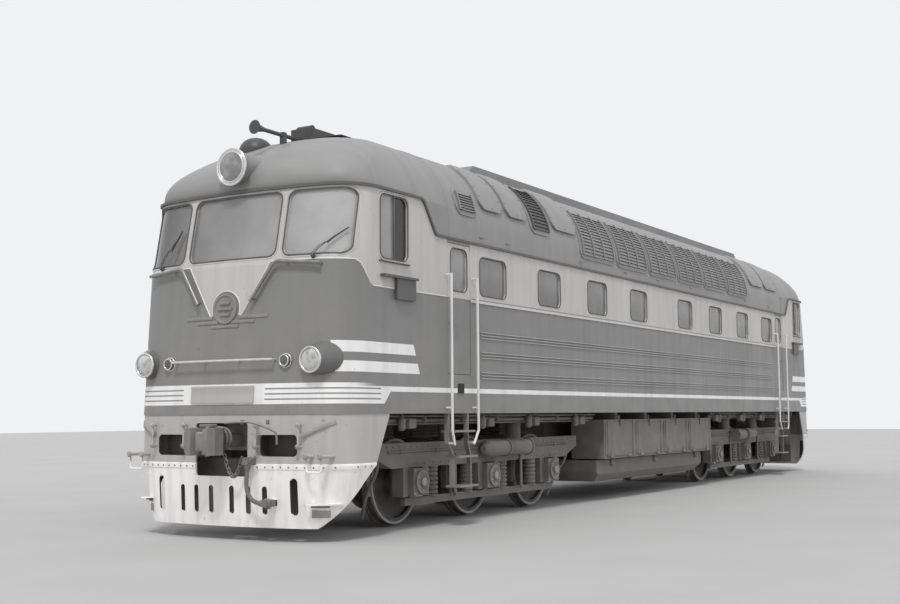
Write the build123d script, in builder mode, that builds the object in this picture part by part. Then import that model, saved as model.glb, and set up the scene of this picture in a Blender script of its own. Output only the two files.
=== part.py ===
# A six-axle diesel locomotive with a cab at each end, at its real size.
# The frame: +X is forward, +Y is the left side, +Z is up, and the origin lies on the floor
# that the wheel flanges stand on, under the middle of the body. Lengths are in millimetres.
import os
from math import asin, cos, degrees, pi, radians, sin, sqrt, tan

from build123d import *

os.makedirs("parts", exist_ok=True)


# Wheels and axles
WHEEL_DIAMETER = 1050
FLANGE_DEPTH = 30
FLANGE_THICKNESS = 32
FLANGE_TIP_THICKNESS = 19
TYRE_WIDTH = 140
BACK_TO_BACK = 1440
TYRE_THICKNESS = 75
WEB_THICKNESS = 30
HUB_DIAMETER = 330
HUB_WIDTH = 180
TREAD_FALL = 5
AXLE_DIAMETER = 210
JOURNAL_DIAMETER = 160
JOURNAL_END_Y = 1170

# Bogies
BOGIE_PIVOT_X = 5470
AXLE_PITCH = 1800
FRAME_LENGTH = 5500
FRAME_SIDE_Y = 1000
FRAME_SIDE_WIDTH = 160
FRAME_TOP_Z = 1030
FRAME_DEPTH = 300
PEDESTAL_WIDTH = 110
PEDESTAL_BOTTOM_Z = 380
AXLE_BOX_LENGTH = 340
AXLE_BOX_HEIGHT = 330
AXLE_BOX_INNER_Y = 890
AXLE_BOX_OUTER_Y = 1240
AXLE_BOX_COVER_DIAMETER = 270
PEDESTAL_CLEARANCE = 0.3
SPRING_DIAMETER = 180
SPRING_OFFSET = 430
BALANCER_HEIGHT = 90
BALANCER_WIDTH = 60
BALANCER_BOTTOM_Z = 270
MOTOR_DIAMETER = 640
MOTOR_WIDTH = 1010
MOTOR_OFFSET = 470
MOTOR_CENTRE_Z = 590
MOTOR_NOSE_OFFSET = 250
MOTOR_NOSE_LENGTH = 200
MOTOR_NOSE_WIDTH = 500
SUSPENSION_TUBE_DIAMETER = 330
AXLE_CLEARANCE = 1
JOURNAL_CLEARANCE = 0.5
JOURNAL_END_GAP = 8
AXLE_BOX_COVER_STEP = 30
AXLE_BOX_CAP_DIAMETER = 130
AXLE_BOX_CAP_STEP = 18
SPRING_TURNS = 6
SPRING_GROOVE = 26
SPRING_SEAT_HEIGHT = 18
FRAME_END_LENGTH = 420
FRAME_END_RISE = 150
CYLINDER_DIAMETER = 210
CYLINDER_LENGTH = 500
CYLINDER_PITCH = 640
CYLINDER_TAPER_LENGTH = 120
CYLINDER_TAPER_DIAMETER = 90
CYLINDER_FLANGE_DIAMETER = 240
CYLINDER_FLANGE_LENGTH = 35
CYLINDER_FRONT_X = 350
CYLINDER_Z = 915
CYLINDER_FOOT_LENGTH = 320
CYLINDER_FOOT_HEIGHT = 147
BRAKE_SHOE_WIDTH = 85
BRAKE_SHOE_THICKNESS = 60
BRAKE_SHOE_GAP = 6
SHOE_Y = 765
SHOE_HEIGHT = 320
HANGER_THICKNESS = 25
HANGER_WIDTH = 50
HANGER_TOP_Z = 830
TRANSOM_X = 900
TRANSOM_WIDTH = 120
TRANSOM_DEPTH = 230
PIVOT_BEAM_WIDTH = 560
PIVOT_BEAM_DEPTH = 100
PIVOT_DIAMETER = 320
PIVOT_CLEARANCE = 6
BEARER_X = 900
BEARER_Y = 1050
BEARER_DIAMETER = 220
BEARER_GAP = 0.3

# Body outline
BODY_HALF_WIDTH = 1561
NOSE_SKIRT_X = 9500
NOSE_BELT_X = 9400
NOSE_VISOR_X = 9230
NOSE_SAG = 180
NOSE_CORNER_RADIUS = 480
SKIRT_BOTTOM_Z = 1382
BELT_Z = 3060
VISOR_Z = 3930
GUTTER_Z = 3527
WALL = 60
SHOULDER_Z = 3760
SHOULDER_RADIUS = 1004
SHOULDER_ANGLE = 73
CROWN_Z = 4850
ROOF_FRONT_RADIUS = 2490
ROOF_FRONT_START_X = 7500
ROOF_SETBACK = 15
DOME_LEVELS = 5
CAB_REAR_X = 7160
VISOR_STEP = 25
VISOR_HEIGHT = 30
GUTTER_CURVE_X = 7850
GUTTER_CURVE_LENGTH = 420
GUTTER_CURVE_RADIUS = 120
GUTTER_CURVE_LEVEL = 126

# Doors
DOOR_REAR_X = 6600
DOOR_SILL_Z = 1860
DOOR_TOP_Z = 3490
DOOR_THICKNESS = 50
DOOR_RECESS = 5
DOOR_HINGE_GAP = 6
DOOR_LOCK_GAP = 12
DOOR_EDGE_GAP = 6
DOOR_WINDOW_WIDTH = 400
DOOR_WINDOW_BOTTOM_Z = 2900
DOOR_WINDOW_TOP_Z = 3430
HANDLE_Z = 2490
HANDLE_INSET = 60
HANDLE_DIAMETER = 24
HANDLE_STEP = 55
HANDLE_LENGTH = 130
HANDLE_CORNER = 10
HINGES_Z = (1980, 2680, 3370)
HINGE_PIN_DIAMETER = 12
HINGE_KNUCKLE_DIAMETER = 28
HINGE_KNUCKLE_HEIGHT = 60
HINGE_PLATE_THICKNESS = 12
HINGE_PLATE_REACH = 45
HINGE_PLATE_MARGIN = 3
HINGE_CLEARANCE = 0.3

# Windows
WINDOW_CORNER = 90
CENTRE_PANE_HALF_WIDTH = 640
SIDE_PANE_INNER_Y = 740
SIDE_PANE_OUTER_Y = 1485
PANE_BOTTOM_Z = 3150
PANE_TOP_Z = 3890
CAB_WINDOW_REAR_X = 8050
CAB_WINDOW_FRONT_X = 8610
CAB_WINDOW_BOTTOM_Z = 3150
CAB_WINDOW_TOP_Z = 3880
BODY_WINDOW_FIRST_X = 1080
BODY_WINDOW_PITCH = 1643
BODY_WINDOW_COUNT = 4
BODY_WINDOW_WIDTH = 700
BODY_WINDOW_BOTTOM_Z = 2890
BODY_WINDOW_TOP_Z = 3385
GLASS_THICKNESS = 8
GLASS_DEPTH = 24
GLASS_GAP = 0.3

# Ribs along the body side
BELT_RIB_Z = 2797
BELT_RIB_HEIGHT = 34
RIB_HEIGHT = 12
RIB_STEP = 12
RIB_PITCH = 38
RIB_GROUPS_Z = (1860, 2120, 2375)
RIB_END_X = 6350

# Floor and frame under the body
FLOOR_TOP_Z = 1560
FLOOR_THICKNESS = 60
CENTRE_SILL_HALF_WIDTH = 420
CENTRE_SILL_DEPTH = 200
BULKHEAD_THICKNESS = 50
OUTRIGGER_DEPTH = 100
OUTRIGGER_WIDTH = 80
END_BEAM_X = 9150
END_BEAM_LENGTH = 260
END_BEAM_WIDTH = 2500
JACK_PAD_SIZE = 180
JACK_PAD_THICKNESS = 20
JACK_PAD_INSET = 60
PIVOT_BOTTOM_Z = 940
DESK_TOP_Z = 2750
DESK_REAR_X = 8750
DESK_LEG_SETBACK = 250
DESK_SLOPE = 80
SEAT_X = 8150
SEAT_Y = 850
SEAT_WIDTH = 460
SEAT_CORNER = 60
SEAT_CUSHION = 110
SEAT_HEIGHT = 560
SEAT_BACK_HEIGHT = 520
SEAT_POST_DIAMETER = 120
ENGINE_LENGTH = 8400
ENGINE_WIDTH = 1300
ENGINE_HEIGHT = 1950

# Roof fittings
DUCT_HALF_WIDTH = 620
DUCT_HEIGHT = 90
DUCT_FRONT_X = 5150
DUCT_REAR_X = -7100
ROOF_SHEET = 50
HATCH_RISE = 35
HATCH_CORNER = 140
LOUVRE_RISE = 15
LOUVRE_TOOTH = 20
LOUVRE_STEP = 3
LOUVRE_BAR_WIDTH = 26
LOUVRE_BAR_RISE = 26
LOUVRE_MARGIN = 60
# Louvred panels: rear end, front end, low edge, high edge, rows of slats and columns
LOUVRE_PANELS = (
    (6410, 6930, 3880, 4240, 7, 1),
    (4290, 4910, 3890, 4640, 14, 1),
    (2050, 3330, 3700, 4500, 14, 3),
    (700, 1980, 3700, 4500, 14, 3),
    (-650, 630, 3700, 4500, 14, 3),
    (-2000, -720, 3700, 4500, 14, 3),
    (-3350, -2070, 3700, 4500, 14, 3),
    (-4700, -3420, 3700, 4500, 14, 3),
)
# Hatches on the roof's shoulders: rear end, front end, low edge and high edge
ROOF_HATCHES = (
    (5690, 6300, 4030, 4690),
    (4990, 5590, 4030, 4690),
    (3400, 4200, 4030, 4690),
    (-5900, -5000, 4030, 4690),
    (-6900, -6000, 4030, 4690),
)

# Front fittings
PILOT_BOTTOM_Z = 150
PILOT_WAIST_Z = 820
PILOT_BOTTOM_X = 9460
PILOT_BOTTOM_HALF_WIDTH = 1400
PILOT_SHEET = 20
PILOT_STEP = 8
PILOT_TOP_REAR_X = 8410
PILOT_WAIST_REAR_X = 8680
PILOT_BOTTOM_REAR_X = 9280
PILOT_FORM_REAR_X = 8210
COUPLER_OPENING_Y = 380
COUPLER_OPENING_BOTTOM_Z = 700
COUPLER_OPENING_TOP_Z = 1290
COUPLER_OPENING_CORNER = 30
# Slots in the pilot: distance from the middle, width, low end and high end
PILOT_SLOTS = (
    (150, 65, 290, 600),
    (380, 65, 290, 600),
    (600, 65, 290, 600),
    (970, 95, 290, 690),
)
STRIP_BOTTOM_Z = 784
STRIP_HEIGHT = 48
STRIP_RISE = 7
POCKET_INNER_Y = 500
POCKET_OUTER_Y = 1025
POCKET_BOTTOM_Z = 923
POCKET_TOP_Z = 1160
POCKET_CORNER = 55
POCKET_DEPTH = 170
POCKET_SHEET = 8
CORNER_STEP_INNER_Y = 1165
CORNER_STEP_OUTER_Y = 1420
CORNER_STEP_Z = 405
CORNER_STEP_REACH = 95
CORNER_STEP_THICKNESS = 16
HOOK_Y = (530, 1070)
HOOK_TOP_Z = 1270
HOOK_BOTTOM_Z = 1030
HOOK_REACH = 55
HOOK_BEND = 25
HOOK_DIAMETER = 24
STIRRUP_INNER_Y = 1205
STIRRUP_OUTER_Y = 1400
STIRRUP_TOP_Z = 930
STIRRUP_BOTTOM_Z = 765
STIRRUP_REACH = 75
STIRRUP_BEND = 30
STIRRUP_DIAMETER = 20
STIRRUP_BOSS_DIAMETER = 42
LEVER_INNER_Y = 1100
LEVER_INNER_Z = 1150
LEVER_OUTER_Y = 1400
LEVER_OUTER_Z = 1290
LEVER_WIDTH = 44
LEVER_RISE = 12
HOSE_X = 9565
HOSE_DIAMETER = 48
# The hose's route seen from the front: distance to the left of the middle, and height
HOSE_ROUTE = ((450, 835), (450, 745), (438, 650), (447, 555), (500, 470), (585, 425), (680, 425))
COCK_WIDTH = 80
COCK_CORNER = 15
HOSE_BEND_SHARE = 0.45
COUPLER_Z = 1090
COUPLER_FACE_X = 9900
COUPLER_HEAD_LENGTH = 330
COUPLER_HEAD_WIDTH = 420
COUPLER_HEAD_HEIGHT = 300
COUPLER_HEAD_TAPER = 120
COUPLER_HEAD_REAR_WIDTH = 252
# The head's jaw seen from above: distance behind the face and distance to the left
JAW_OUTLINE = ((60, -210), (0, -150), (0, -80), (150, -30), (150, 70), (20, 120), (20, 170), (80, 210))
COUPLER_REAR_X = 9200
COUPLER_SHANK_WIDTH = 175
COUPLER_SHANK_HEIGHT = 140
DRAFT_GEAR_LENGTH = 600
DRAFT_GEAR_WIDTH = 330
DRAFT_GEAR_DROP = -110
ROOF_LAMP_X = 9360
ROOF_LAMP_Z = 4225
ROOF_LAMP_DIAMETER = 440
ROOF_LAMP_LENGTH = 420
LAMP_RIM = 30
LOWER_LAMP_LENGTH = 430
LOWER_LAMP_SWELL = 18
LOWER_LAMP_SWELL_X = 195
MARKER_STEP = 40
LOWER_LAMP_X = 9450
LOWER_LAMP_Y = 1226
LOWER_LAMP_Z = 1970
LOWER_LAMP_DIAMETER = 290
MARKER_Y = 860
MARKER_DIAMETER = 130
NOSE_RAIL_Z = 1985
NOSE_RAIL_HALF_LENGTH = 740
NOSE_RAIL_FOOT_Y = 250
NOSE_RAIL_STEP = 80
NOSE_RAIL_BOW = 42
NOSE_RAIL_DIAMETER = 28
NOSE_RAIL_FOOT_DIAMETER = 22
NOSE_RAIL_END_INSET = 15
# The grab rail beside the nose's vee, from the front: distance to the side and height
GRAB_RAIL_LINE = ((1270, 3035), (690, 3083), (385, 2640))
GRAB_RAIL_DIAMETER = 38
GRAB_RAIL_FOOT_DIAMETER = 26
GRAB_RAIL_STEP = 58
GRAB_RAIL_BEND = 120
# Feet of the grab rail: which stretch of its line, and the share of that stretch
GRAB_RAIL_FEET = ((0, 0.04), (0, 0.74), (1, 0.93))
LEDGE_REAR_X = 7910
LEDGE_FRONT_X = 8620
LEDGE_Z = 2930
LEDGE_THICKNESS = 28
LEDGE_REACH = 70
LEDGE_BOX_REAR_X = 7940
LEDGE_BOX_FRONT_X = 8330
LEDGE_BOX_BOTTOM_Z = 2690
LEDGE_BOX_REACH = 48
HORN_BELL_X = 8960
HORN_Z = 4775
HORN_LENGTH = 500
HORN_BELL_DIAMETER = 170
HORN_TUBE_DIAMETER = 50
HORN_THROAT_DIAMETER = 96
HORN_THROAT_LENGTH = 60
HORN_BELL_LENGTH = 180
HORN_STAND_LENGTH = 70
HORN_STAND_CORNER = 14
HORN_BOX_FRONT_X = 8090
HORN_BOX_LENGTH = 560
HORN_BOX_WIDTH = 340
HORN_BOX_TOP_Z = 4925
HORN_BOX_CORNER = 40
HORN_DRUM_DIAMETER = 110
HORN_DRUM_LENGTH = 220
ROOF_DOME_X = 8400
ROOF_DOME_Y = -450
ROOF_DOME_RADIUS = 210
ROOF_DOME_HEIGHT = 150
LADDER_FRONT_X = 7030
LADDER_REAR_X = 6620
LADDER_TOP_FRONT_X = 7140
LADDER_TOP_REAR_X = 6680
LADDER_KNEE_HIGH_Z = 1010
LADDER_KNEE_LOW_Z = 870
LADDER_BAR = 24
LADDER_TREADS_Z = (840, 480)
LADDER_TOP_TREAD_Z = 1150
TREAD_DEPTH = 220
TREAD_SETBACK = 60
TREAD_THICKNESS = 25
TREAD_CORNER = 10
RAIL_FRONT_X = 7193
RAIL_REAR_X = 6559
RAIL_STEP = 80
RAIL_DIAMETER = 34
RAIL_FOOT_DIAMETER = 26
RAIL_TOP_Z = 3095
RAIL_FOOT_Z = 1450
RAIL_KINK_Z = 1170
RAIL_BOTTOM_Z = 1000
RAIL_BEND = 60

# Boxes and tank under the body
BATTERY_FRONT_X = 2320
BATTERY_REAR_X = -2600
BATTERY_OUTER_Y = 1450
BATTERY_DEPTH = 560
BATTERY_BOTTOM_Z = 660
BATTERY_TOP_Z = 1270
BATTERY_COUNT = 4
BATTERY_DOOR_MARGIN = 90
BATTERY_DOOR_STEP = 12
BATTERY_HANGER = 120
BATTERY_HANGER_DEPTH = 448
BATTERY_DOOR_CORNER = 40
TANK_HALF_LENGTH = 2350
TANK_HALF_WIDTH = 1330
TANK_TOP_Z = 640
TANK_BOTTOM_Z = 300
TANK_BEVEL = 120
TANK_END_BEVEL = 160
TANK_NECK_HALF_WIDTH = 420

RAIL_Z = FLANGE_DEPTH
AXLE_Z = RAIL_Z + WHEEL_DIAMETER / 2
BOTH_ENDS = (("front", 1), ("rear", -1))
BOTH_SIDES = (("left", 1), ("right", -1))
AXLE_OFFSETS = (AXLE_PITCH, 0, -AXLE_PITCH)
battery_pitch = (BATTERY_FRONT_X - BATTERY_REAR_X) / BATTERY_COUNT


def save(piece, name):
    """Label a finished piece and write it as the node of that name."""
    piece.part.label = name
    export_step(piece.part, f"parts/{name}.step")


def nose_x(z):
    """How far forward the middle of the nose reaches at the height z."""
    if z <= BELT_Z:
        share = (z - SKIRT_BOTTOM_Z) / (BELT_Z - SKIRT_BOTTOM_Z)
        return NOSE_SKIRT_X + (NOSE_BELT_X - NOSE_SKIRT_X) * share
    share = (z - BELT_Z) / (VISOR_Z - BELT_Z)
    return NOSE_BELT_X + (NOSE_VISOR_X - NOSE_BELT_X) * share


def nose_surface_x(y, z):
    """How far forward the bowed nose reaches beside its middle at the height z."""
    bow_radius = (BODY_HALF_WIDTH ** 2 + NOSE_SAG ** 2) / (2 * NOSE_SAG)
    return nose_x(z) - bow_radius + sqrt(bow_radius ** 2 - y ** 2)


def roof_half_width(z):
    """Half the roof's width at the height z, along the shoulder's arc and then the crown's."""
    if z <= SHOULDER_Z:
        return BODY_HALF_WIDTH
    rise = z - SHOULDER_Z
    centre_y = BODY_HALF_WIDTH - SHOULDER_RADIUS
    if rise <= SHOULDER_RADIUS * sin(radians(SHOULDER_ANGLE)):
        return centre_y + sqrt(SHOULDER_RADIUS ** 2 - rise ** 2)
    return sqrt(CROWN_RADIUS ** 2 - (CROWN_RADIUS - (CROWN_Z - z)) ** 2)


def roof_crown_z(x, y):
    """The height of the roof over the cab near its middle line."""
    fall = ROOF_FRONT_RADIUS - sqrt(ROOF_FRONT_RADIUS ** 2 - max(0, x - ROOF_FRONT_START_X) ** 2)
    return CROWN_Z - fall - CROWN_RADIUS + sqrt(CROWN_RADIUS ** 2 - y ** 2)


def roof_front_x(z):
    """How far forward the roof over the cab reaches at the height z."""
    drop = ROOF_FRONT_RADIUS - (CROWN_Z - z)
    arc_x = ROOF_FRONT_START_X + sqrt(ROOF_FRONT_RADIUS ** 2 - drop ** 2)
    return min(arc_x, NOSE_VISOR_X - ROOF_SETBACK)


SHOULDER_TOP_Y = BODY_HALF_WIDTH - SHOULDER_RADIUS * (1 - cos(radians(SHOULDER_ANGLE)))
SHOULDER_TOP_Z = SHOULDER_Z + SHOULDER_RADIUS * sin(radians(SHOULDER_ANGLE))
CROWN_RISE = CROWN_Z - SHOULDER_TOP_Z
CROWN_RADIUS = (SHOULDER_TOP_Y ** 2 + CROWN_RISE ** 2) / (2 * CROWN_RISE)


def nose_outline(z, front_x, half_width, corner, rear_x, inset=0):
    """A cab's outline from above: straight sides, a bowed front and round corners."""
    with BuildSketch(Plane.XY.offset(z)) as outline:
        with BuildLine():
            side = half_width - inset
            shoulder_x = front_x - NOSE_SAG - inset
            right = Line((rear_x, -side), (shoulder_x, -side))
            bow = ThreePointArc(right @ 1, (front_x - inset, 0), (shoulder_x, side))
            left = Line(bow @ 1, (rear_x, side))
            Line(left @ 1, right @ 0)
        make_face()
        fillet(outline.vertices().group_by(Axis.X)[-1], corner - inset)
    return outline.sketch


def roof_section(inset, floor_z, plane):
    """The roof's section across the body above floor_z, with its shoulders and crown as arcs."""
    side = BODY_HALF_WIDTH - inset
    radius = SHOULDER_RADIUS - inset
    centre_y = BODY_HALF_WIDTH - SHOULDER_RADIUS
    top_y = centre_y + radius * cos(radians(SHOULDER_ANGLE))
    top_z = SHOULDER_Z + radius * sin(radians(SHOULDER_ANGLE))
    half = radians(SHOULDER_ANGLE / 2)
    mid = (centre_y + radius * cos(half), SHOULDER_Z + radius * sin(half))
    with BuildSketch(plane) as section:
        with BuildLine():
            Polyline((side, SHOULDER_Z), (side, floor_z), (-side, floor_z), (-side, SHOULDER_Z))
            ThreePointArc((side, SHOULDER_Z), mid, (top_y, top_z))
            ThreePointArc((top_y, top_z), (0, CROWN_Z - inset), (-top_y, top_z))
            ThreePointArc((-top_y, top_z), (-mid[0], mid[1]), (-side, SHOULDER_Z))
        make_face()
    return section.sketch


def round_window(u_low, u_high, z_low, z_high, corner=WINDOW_CORNER):
    """A window with round corners, drawn in the sketch that is open."""
    with Locations(((u_low + u_high) / 2, (z_low + z_high) / 2)):
        RectangleRounded(abs(u_high - u_low), z_high - z_low, corner)


# Upright planes whose first direction is the one a window's width runs along
ACROSS = Plane(origin=(0, 0, 0), x_dir=(0, 1, 0), z_dir=(1, 0, 0))
ALONG = Plane(origin=(0, 0, 0), x_dir=(-1, 0, 0), z_dir=(0, 1, 0))


# The cab's walls, from the skirt to the visor
def cab_wall(inset, low_z=SKIRT_BOTTOM_Z, high_z=VISOR_Z, rear_x=CAB_REAR_X):
    """The cab's closed form up to the visor, drawn in by inset."""
    heights = [low_z] + [z for z in (BELT_Z,) if low_z < z < high_z] + [high_z]
    with BuildPart() as form:
        for z in heights:
            add(nose_outline(z, nose_x(z), BODY_HALF_WIDTH, NOSE_CORNER_RADIUS, rear_x, inset))
        loft(ruled=True)
    return form.part


def front_windows(gap):
    """The windshields and the cab's side windows as prisms through the walls, smaller by gap."""
    panes = [
        (-CENTRE_PANE_HALF_WIDTH, CENTRE_PANE_HALF_WIDTH),
        (SIDE_PANE_INNER_Y, SIDE_PANE_OUTER_Y),
        (-SIDE_PANE_OUTER_Y, -SIDE_PANE_INNER_Y),
    ]
    with BuildPart() as prisms:
        with BuildSketch(ACROSS.offset(CAB_WINDOW_FRONT_X + WALL)):
            for y_low, y_high in panes:
                round_window(y_low + gap, y_high - gap, PANE_BOTTOM_Z + gap, PANE_TOP_Z - gap)
        extrude(amount=NOSE_SKIRT_X - CAB_WINDOW_FRONT_X)
        with BuildSketch(ALONG.offset(-BODY_HALF_WIDTH)):
            round_window(-CAB_WINDOW_FRONT_X + gap, -CAB_WINDOW_REAR_X - gap,
                         CAB_WINDOW_BOTTOM_Z + gap, CAB_WINDOW_TOP_Z - gap)
        extrude(amount=2 * BODY_HALF_WIDTH)
    return prisms.part


with BuildPart() as front_cab:
    add(cab_wall(0))
    add(cab_wall(WALL, rear_x=CAB_REAR_X - WALL, low_z=SKIRT_BOTTOM_Z, high_z=VISOR_Z),
        mode=Mode.SUBTRACT)
    add(front_windows(0), mode=Mode.SUBTRACT)
    # An elbow ledge below each side window, with a locker under it
    for x_low, x_high, z_low, z_high, reach in (
        (LEDGE_REAR_X, LEDGE_FRONT_X, LEDGE_Z, LEDGE_Z + LEDGE_THICKNESS, LEDGE_REACH),
        (LEDGE_BOX_REAR_X, LEDGE_BOX_FRONT_X, LEDGE_BOX_BOTTOM_Z, LEDGE_Z, LEDGE_BOX_REACH),
    ):
        for side in (1, -1):
            with BuildSketch(Plane.XY.offset(z_low)):
                with Locations(((x_low + x_high) / 2, side * (BODY_HALF_WIDTH + (reach - WALL / 2) / 2))):
                    Rectangle(x_high - x_low, reach + WALL / 2)
            extrude(amount=z_high - z_low)

# The glass follows the curved wall, set back from its outer face
with BuildPart() as front_glass:
    add(cab_wall(GLASS_DEPTH))
    add(cab_wall(GLASS_DEPTH + GLASS_THICKNESS), mode=Mode.SUBTRACT)
    add(front_windows(GLASS_GAP), mode=Mode.INTERSECT)


# The roof over the cab: outlines that shrink upwards, closed by the crown
def cab_roof_form():
    """The domed roof over the cab, from the visor up."""
    top_z = SHOULDER_TOP_Z + CROWN_RISE / 2
    with BuildPart() as dome:
        for i in range(DOME_LEVELS + 1):
            z = VISOR_Z + (top_z - VISOR_Z) * sin(radians(90 * i / DOME_LEVELS))
            add(nose_outline(z, roof_front_x(z), roof_half_width(z), NOSE_CORNER_RADIUS, CAB_REAR_X))
        loft()
    with BuildPart() as crown:
        extrude(roof_section(0, GUTTER_Z, ACROSS.offset(CAB_REAR_X)), amount=NOSE_VISOR_X - CAB_REAR_X,
                dir=(1, 0, 0))
        with BuildSketch(Plane.XZ.offset(-BODY_HALF_WIDTH)):
            with BuildLine():
                start = (ROOF_FRONT_START_X, CROWN_Z)
                end = (roof_front_x(top_z), top_z)
                half = asin((end[0] - start[0]) / ROOF_FRONT_RADIUS) / 2
                mid = (start[0] + ROOF_FRONT_RADIUS * sin(half),
                       CROWN_Z - ROOF_FRONT_RADIUS * (1 - cos(half)))
                ThreePointArc(start, mid, end)
                Polyline(end, (CAB_REAR_X, top_z), (CAB_REAR_X, CROWN_Z), start)
            make_face()
        extrude(amount=2 * BODY_HALF_WIDTH, mode=Mode.INTERSECT)
    with BuildPart() as roof:
        add(dome.part)
        add(crown.part)
    return roof.part


def at_both_ends(form):
    """A front piece together with its copy at the rear, turned half round."""
    with BuildPart() as pair:
        add(form)
        add(form.rotate(Axis.Z, 180))
    return pair


def rear_of(form):
    """The rear copy of a front piece, turned half round."""
    with BuildPart() as twin:
        add(form.rotate(Axis.Z, 180))
    return twin


with BuildPart() as front_cab_roof:
    add(cab_roof_form())

save(front_cab, "front_cab")
save(rear_of(front_cab.part), "rear_cab")
save(front_cab_roof, "front_cab_roof")
save(rear_of(front_cab_roof.part), "rear_cab_roof")
save(at_both_ends(front_glass.part), "cab_glass")


# The rain gutter: a visor over the windshields that drops behind the cab windows to the long sides
with BuildPart() as gutter:
    with BuildSketch(Plane.XY.offset(VISOR_Z)):
        add(nose_outline(VISOR_Z, NOSE_VISOR_X + VISOR_STEP, BODY_HALF_WIDTH + VISOR_STEP,
                         NOSE_CORNER_RADIUS, GUTTER_CURVE_X).moved(Location((0, 0, -VISOR_Z))))
        add(nose_outline(VISOR_Z, NOSE_VISOR_X, BODY_HALF_WIDTH, NOSE_CORNER_RADIUS,
                         GUTTER_CURVE_X).moved(Location((0, 0, -VISOR_Z))), mode=Mode.SUBTRACT)
    extrude(amount=VISOR_HEIGHT)
    mirror(about=Plane.YZ)
    for side in (1, -1):
        with BuildSketch(Plane.XZ.offset(-side * (BODY_HALF_WIDTH + VISOR_STEP / 2))):
            with BuildLine() as path:
                mid_z = VISOR_HEIGHT / 2
                FilletPolyline(
                    (-GUTTER_CURVE_X - 1, VISOR_Z + mid_z),
                    (-GUTTER_CURVE_X + GUTTER_CURVE_LEVEL, VISOR_Z + mid_z),
                    (-GUTTER_CURVE_X + GUTTER_CURVE_LENGTH, GUTTER_Z + mid_z),
                    (GUTTER_CURVE_X - GUTTER_CURVE_LENGTH, GUTTER_Z + mid_z),
                    (GUTTER_CURVE_X - GUTTER_CURVE_LEVEL, VISOR_Z + mid_z),
                    (GUTTER_CURVE_X + 1, VISOR_Z + mid_z),
                    radius=GUTTER_CURVE_RADIUS,
                )
            trace(line_width=VISOR_HEIGHT)
        extrude(amount=VISOR_STEP / 2, both=True)
save(gutter, "rain_gutter")


# The long sides between the entrance doors, with their windows and ribs
def body_window_centres():
    """The places along the body of its side windows, from the rear to the front."""
    half = [BODY_WINDOW_FIRST_X + i * BODY_WINDOW_PITCH for i in range(BODY_WINDOW_COUNT)]
    return [-x for x in reversed(half)] + half


def body_windows(gap, y_low, y_high):
    """All the side windows as prisms between two distances from the middle plane."""
    with BuildPart() as prisms:
        with BuildSketch(ALONG.offset(y_low)):
            for x in body_window_centres():
                round_window(-x - BODY_WINDOW_WIDTH / 2 + gap, -x + BODY_WINDOW_WIDTH / 2 - gap,
                             BODY_WINDOW_BOTTOM_Z + gap, BODY_WINDOW_TOP_Z - gap)
        extrude(amount=y_high - y_low)
    return prisms.part


DOOR_OUTER_Y = BODY_HALF_WIDTH - DOOR_RECESS
HINGE_X = DOOR_REAR_X + HINGE_KNUCKLE_DIAMETER / 2
HINGE_Y = DOOR_OUTER_Y - DOOR_THICKNESS - HINGE_KNUCKLE_DIAMETER / 2
HINGE_PLATE_RADIUS = HINGE_PIN_DIAMETER / 2 + HINGE_PLATE_MARGIN

with BuildPart() as body_side_left:
    with BuildSketch(ALONG.offset(BODY_HALF_WIDTH - WALL)):
        with Locations((0, (SKIRT_BOTTOM_Z + GUTTER_Z) / 2)):
            Rectangle(2 * DOOR_REAR_X, GUTTER_Z - SKIRT_BOTTOM_Z)
    extrude(amount=WALL)
    with BuildSketch(ALONG.offset(BODY_HALF_WIDTH)):
        for group_z in RIB_GROUPS_Z:
            with Locations([(0, group_z + i * RIB_PITCH) for i in (-1, 0, 1)]):
                Rectangle(2 * RIB_END_X, RIB_HEIGHT)
        with Locations((0, BELT_RIB_Z)):
            Rectangle(2 * DOOR_REAR_X, BELT_RIB_HEIGHT)
    extrude(amount=RIB_STEP)
    add(body_windows(0, BODY_HALF_WIDTH - WALL, BODY_HALF_WIDTH), mode=Mode.SUBTRACT)
    # Plates on the inner face carry the pins that the entrance doors hang on
    for hinge_z in HINGES_Z:
        for direction in (1, -1):
            plate_low_x = DOOR_REAR_X - HINGE_PLATE_REACH
            plate_low_y = HINGE_Y - HINGE_PLATE_RADIUS
            plate_high_y = BODY_HALF_WIDTH - WALL
            with BuildSketch(Plane.XY.offset(hinge_z)):
                with Locations((direction * (plate_low_x + HINGE_X) / 2, (plate_low_y + plate_high_y) / 2)):
                    Rectangle(HINGE_X - plate_low_x, plate_high_y - plate_low_y)
                with Locations((direction * HINGE_X, HINGE_Y)):
                    Circle(HINGE_PLATE_RADIUS)
            extrude(amount=-HINGE_PLATE_THICKNESS)
            with BuildSketch(Plane.XY.offset(hinge_z)):
                with Locations((direction * HINGE_X, HINGE_Y)):
                    Circle(HINGE_PIN_DIAMETER / 2)
            extrude(amount=HINGE_KNUCKLE_HEIGHT)
save(body_side_left, "body_side_left")

with BuildPart() as body_side_right:
    mirror(body_side_left.part, about=Plane.XZ)
save(body_side_right, "body_side_right")

with BuildPart() as body_windows_glass:
    pane_y = BODY_HALF_WIDTH - GLASS_DEPTH
    add(body_windows(GLASS_GAP, pane_y - GLASS_THICKNESS, pane_y))
    mirror(about=Plane.XZ)
save(body_windows_glass, "body_glass")


# The roof between the cabs, with raised hatches and louvre panels on its shoulders
def roof_band(outer, inner, x_low, x_high):
    """A stretch of the roof's shell between two distances from its outer face."""
    with BuildPart() as band:
        extrude(roof_section(outer, GUTTER_Z, ACROSS.offset(x_low)), amount=x_high - x_low, dir=(1, 0, 0))
        extrude(roof_section(inner, GUTTER_Z, ACROSS.offset(x_low)), amount=x_high - x_low, dir=(1, 0, 0),
                mode=Mode.SUBTRACT)
    return band.part


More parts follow.
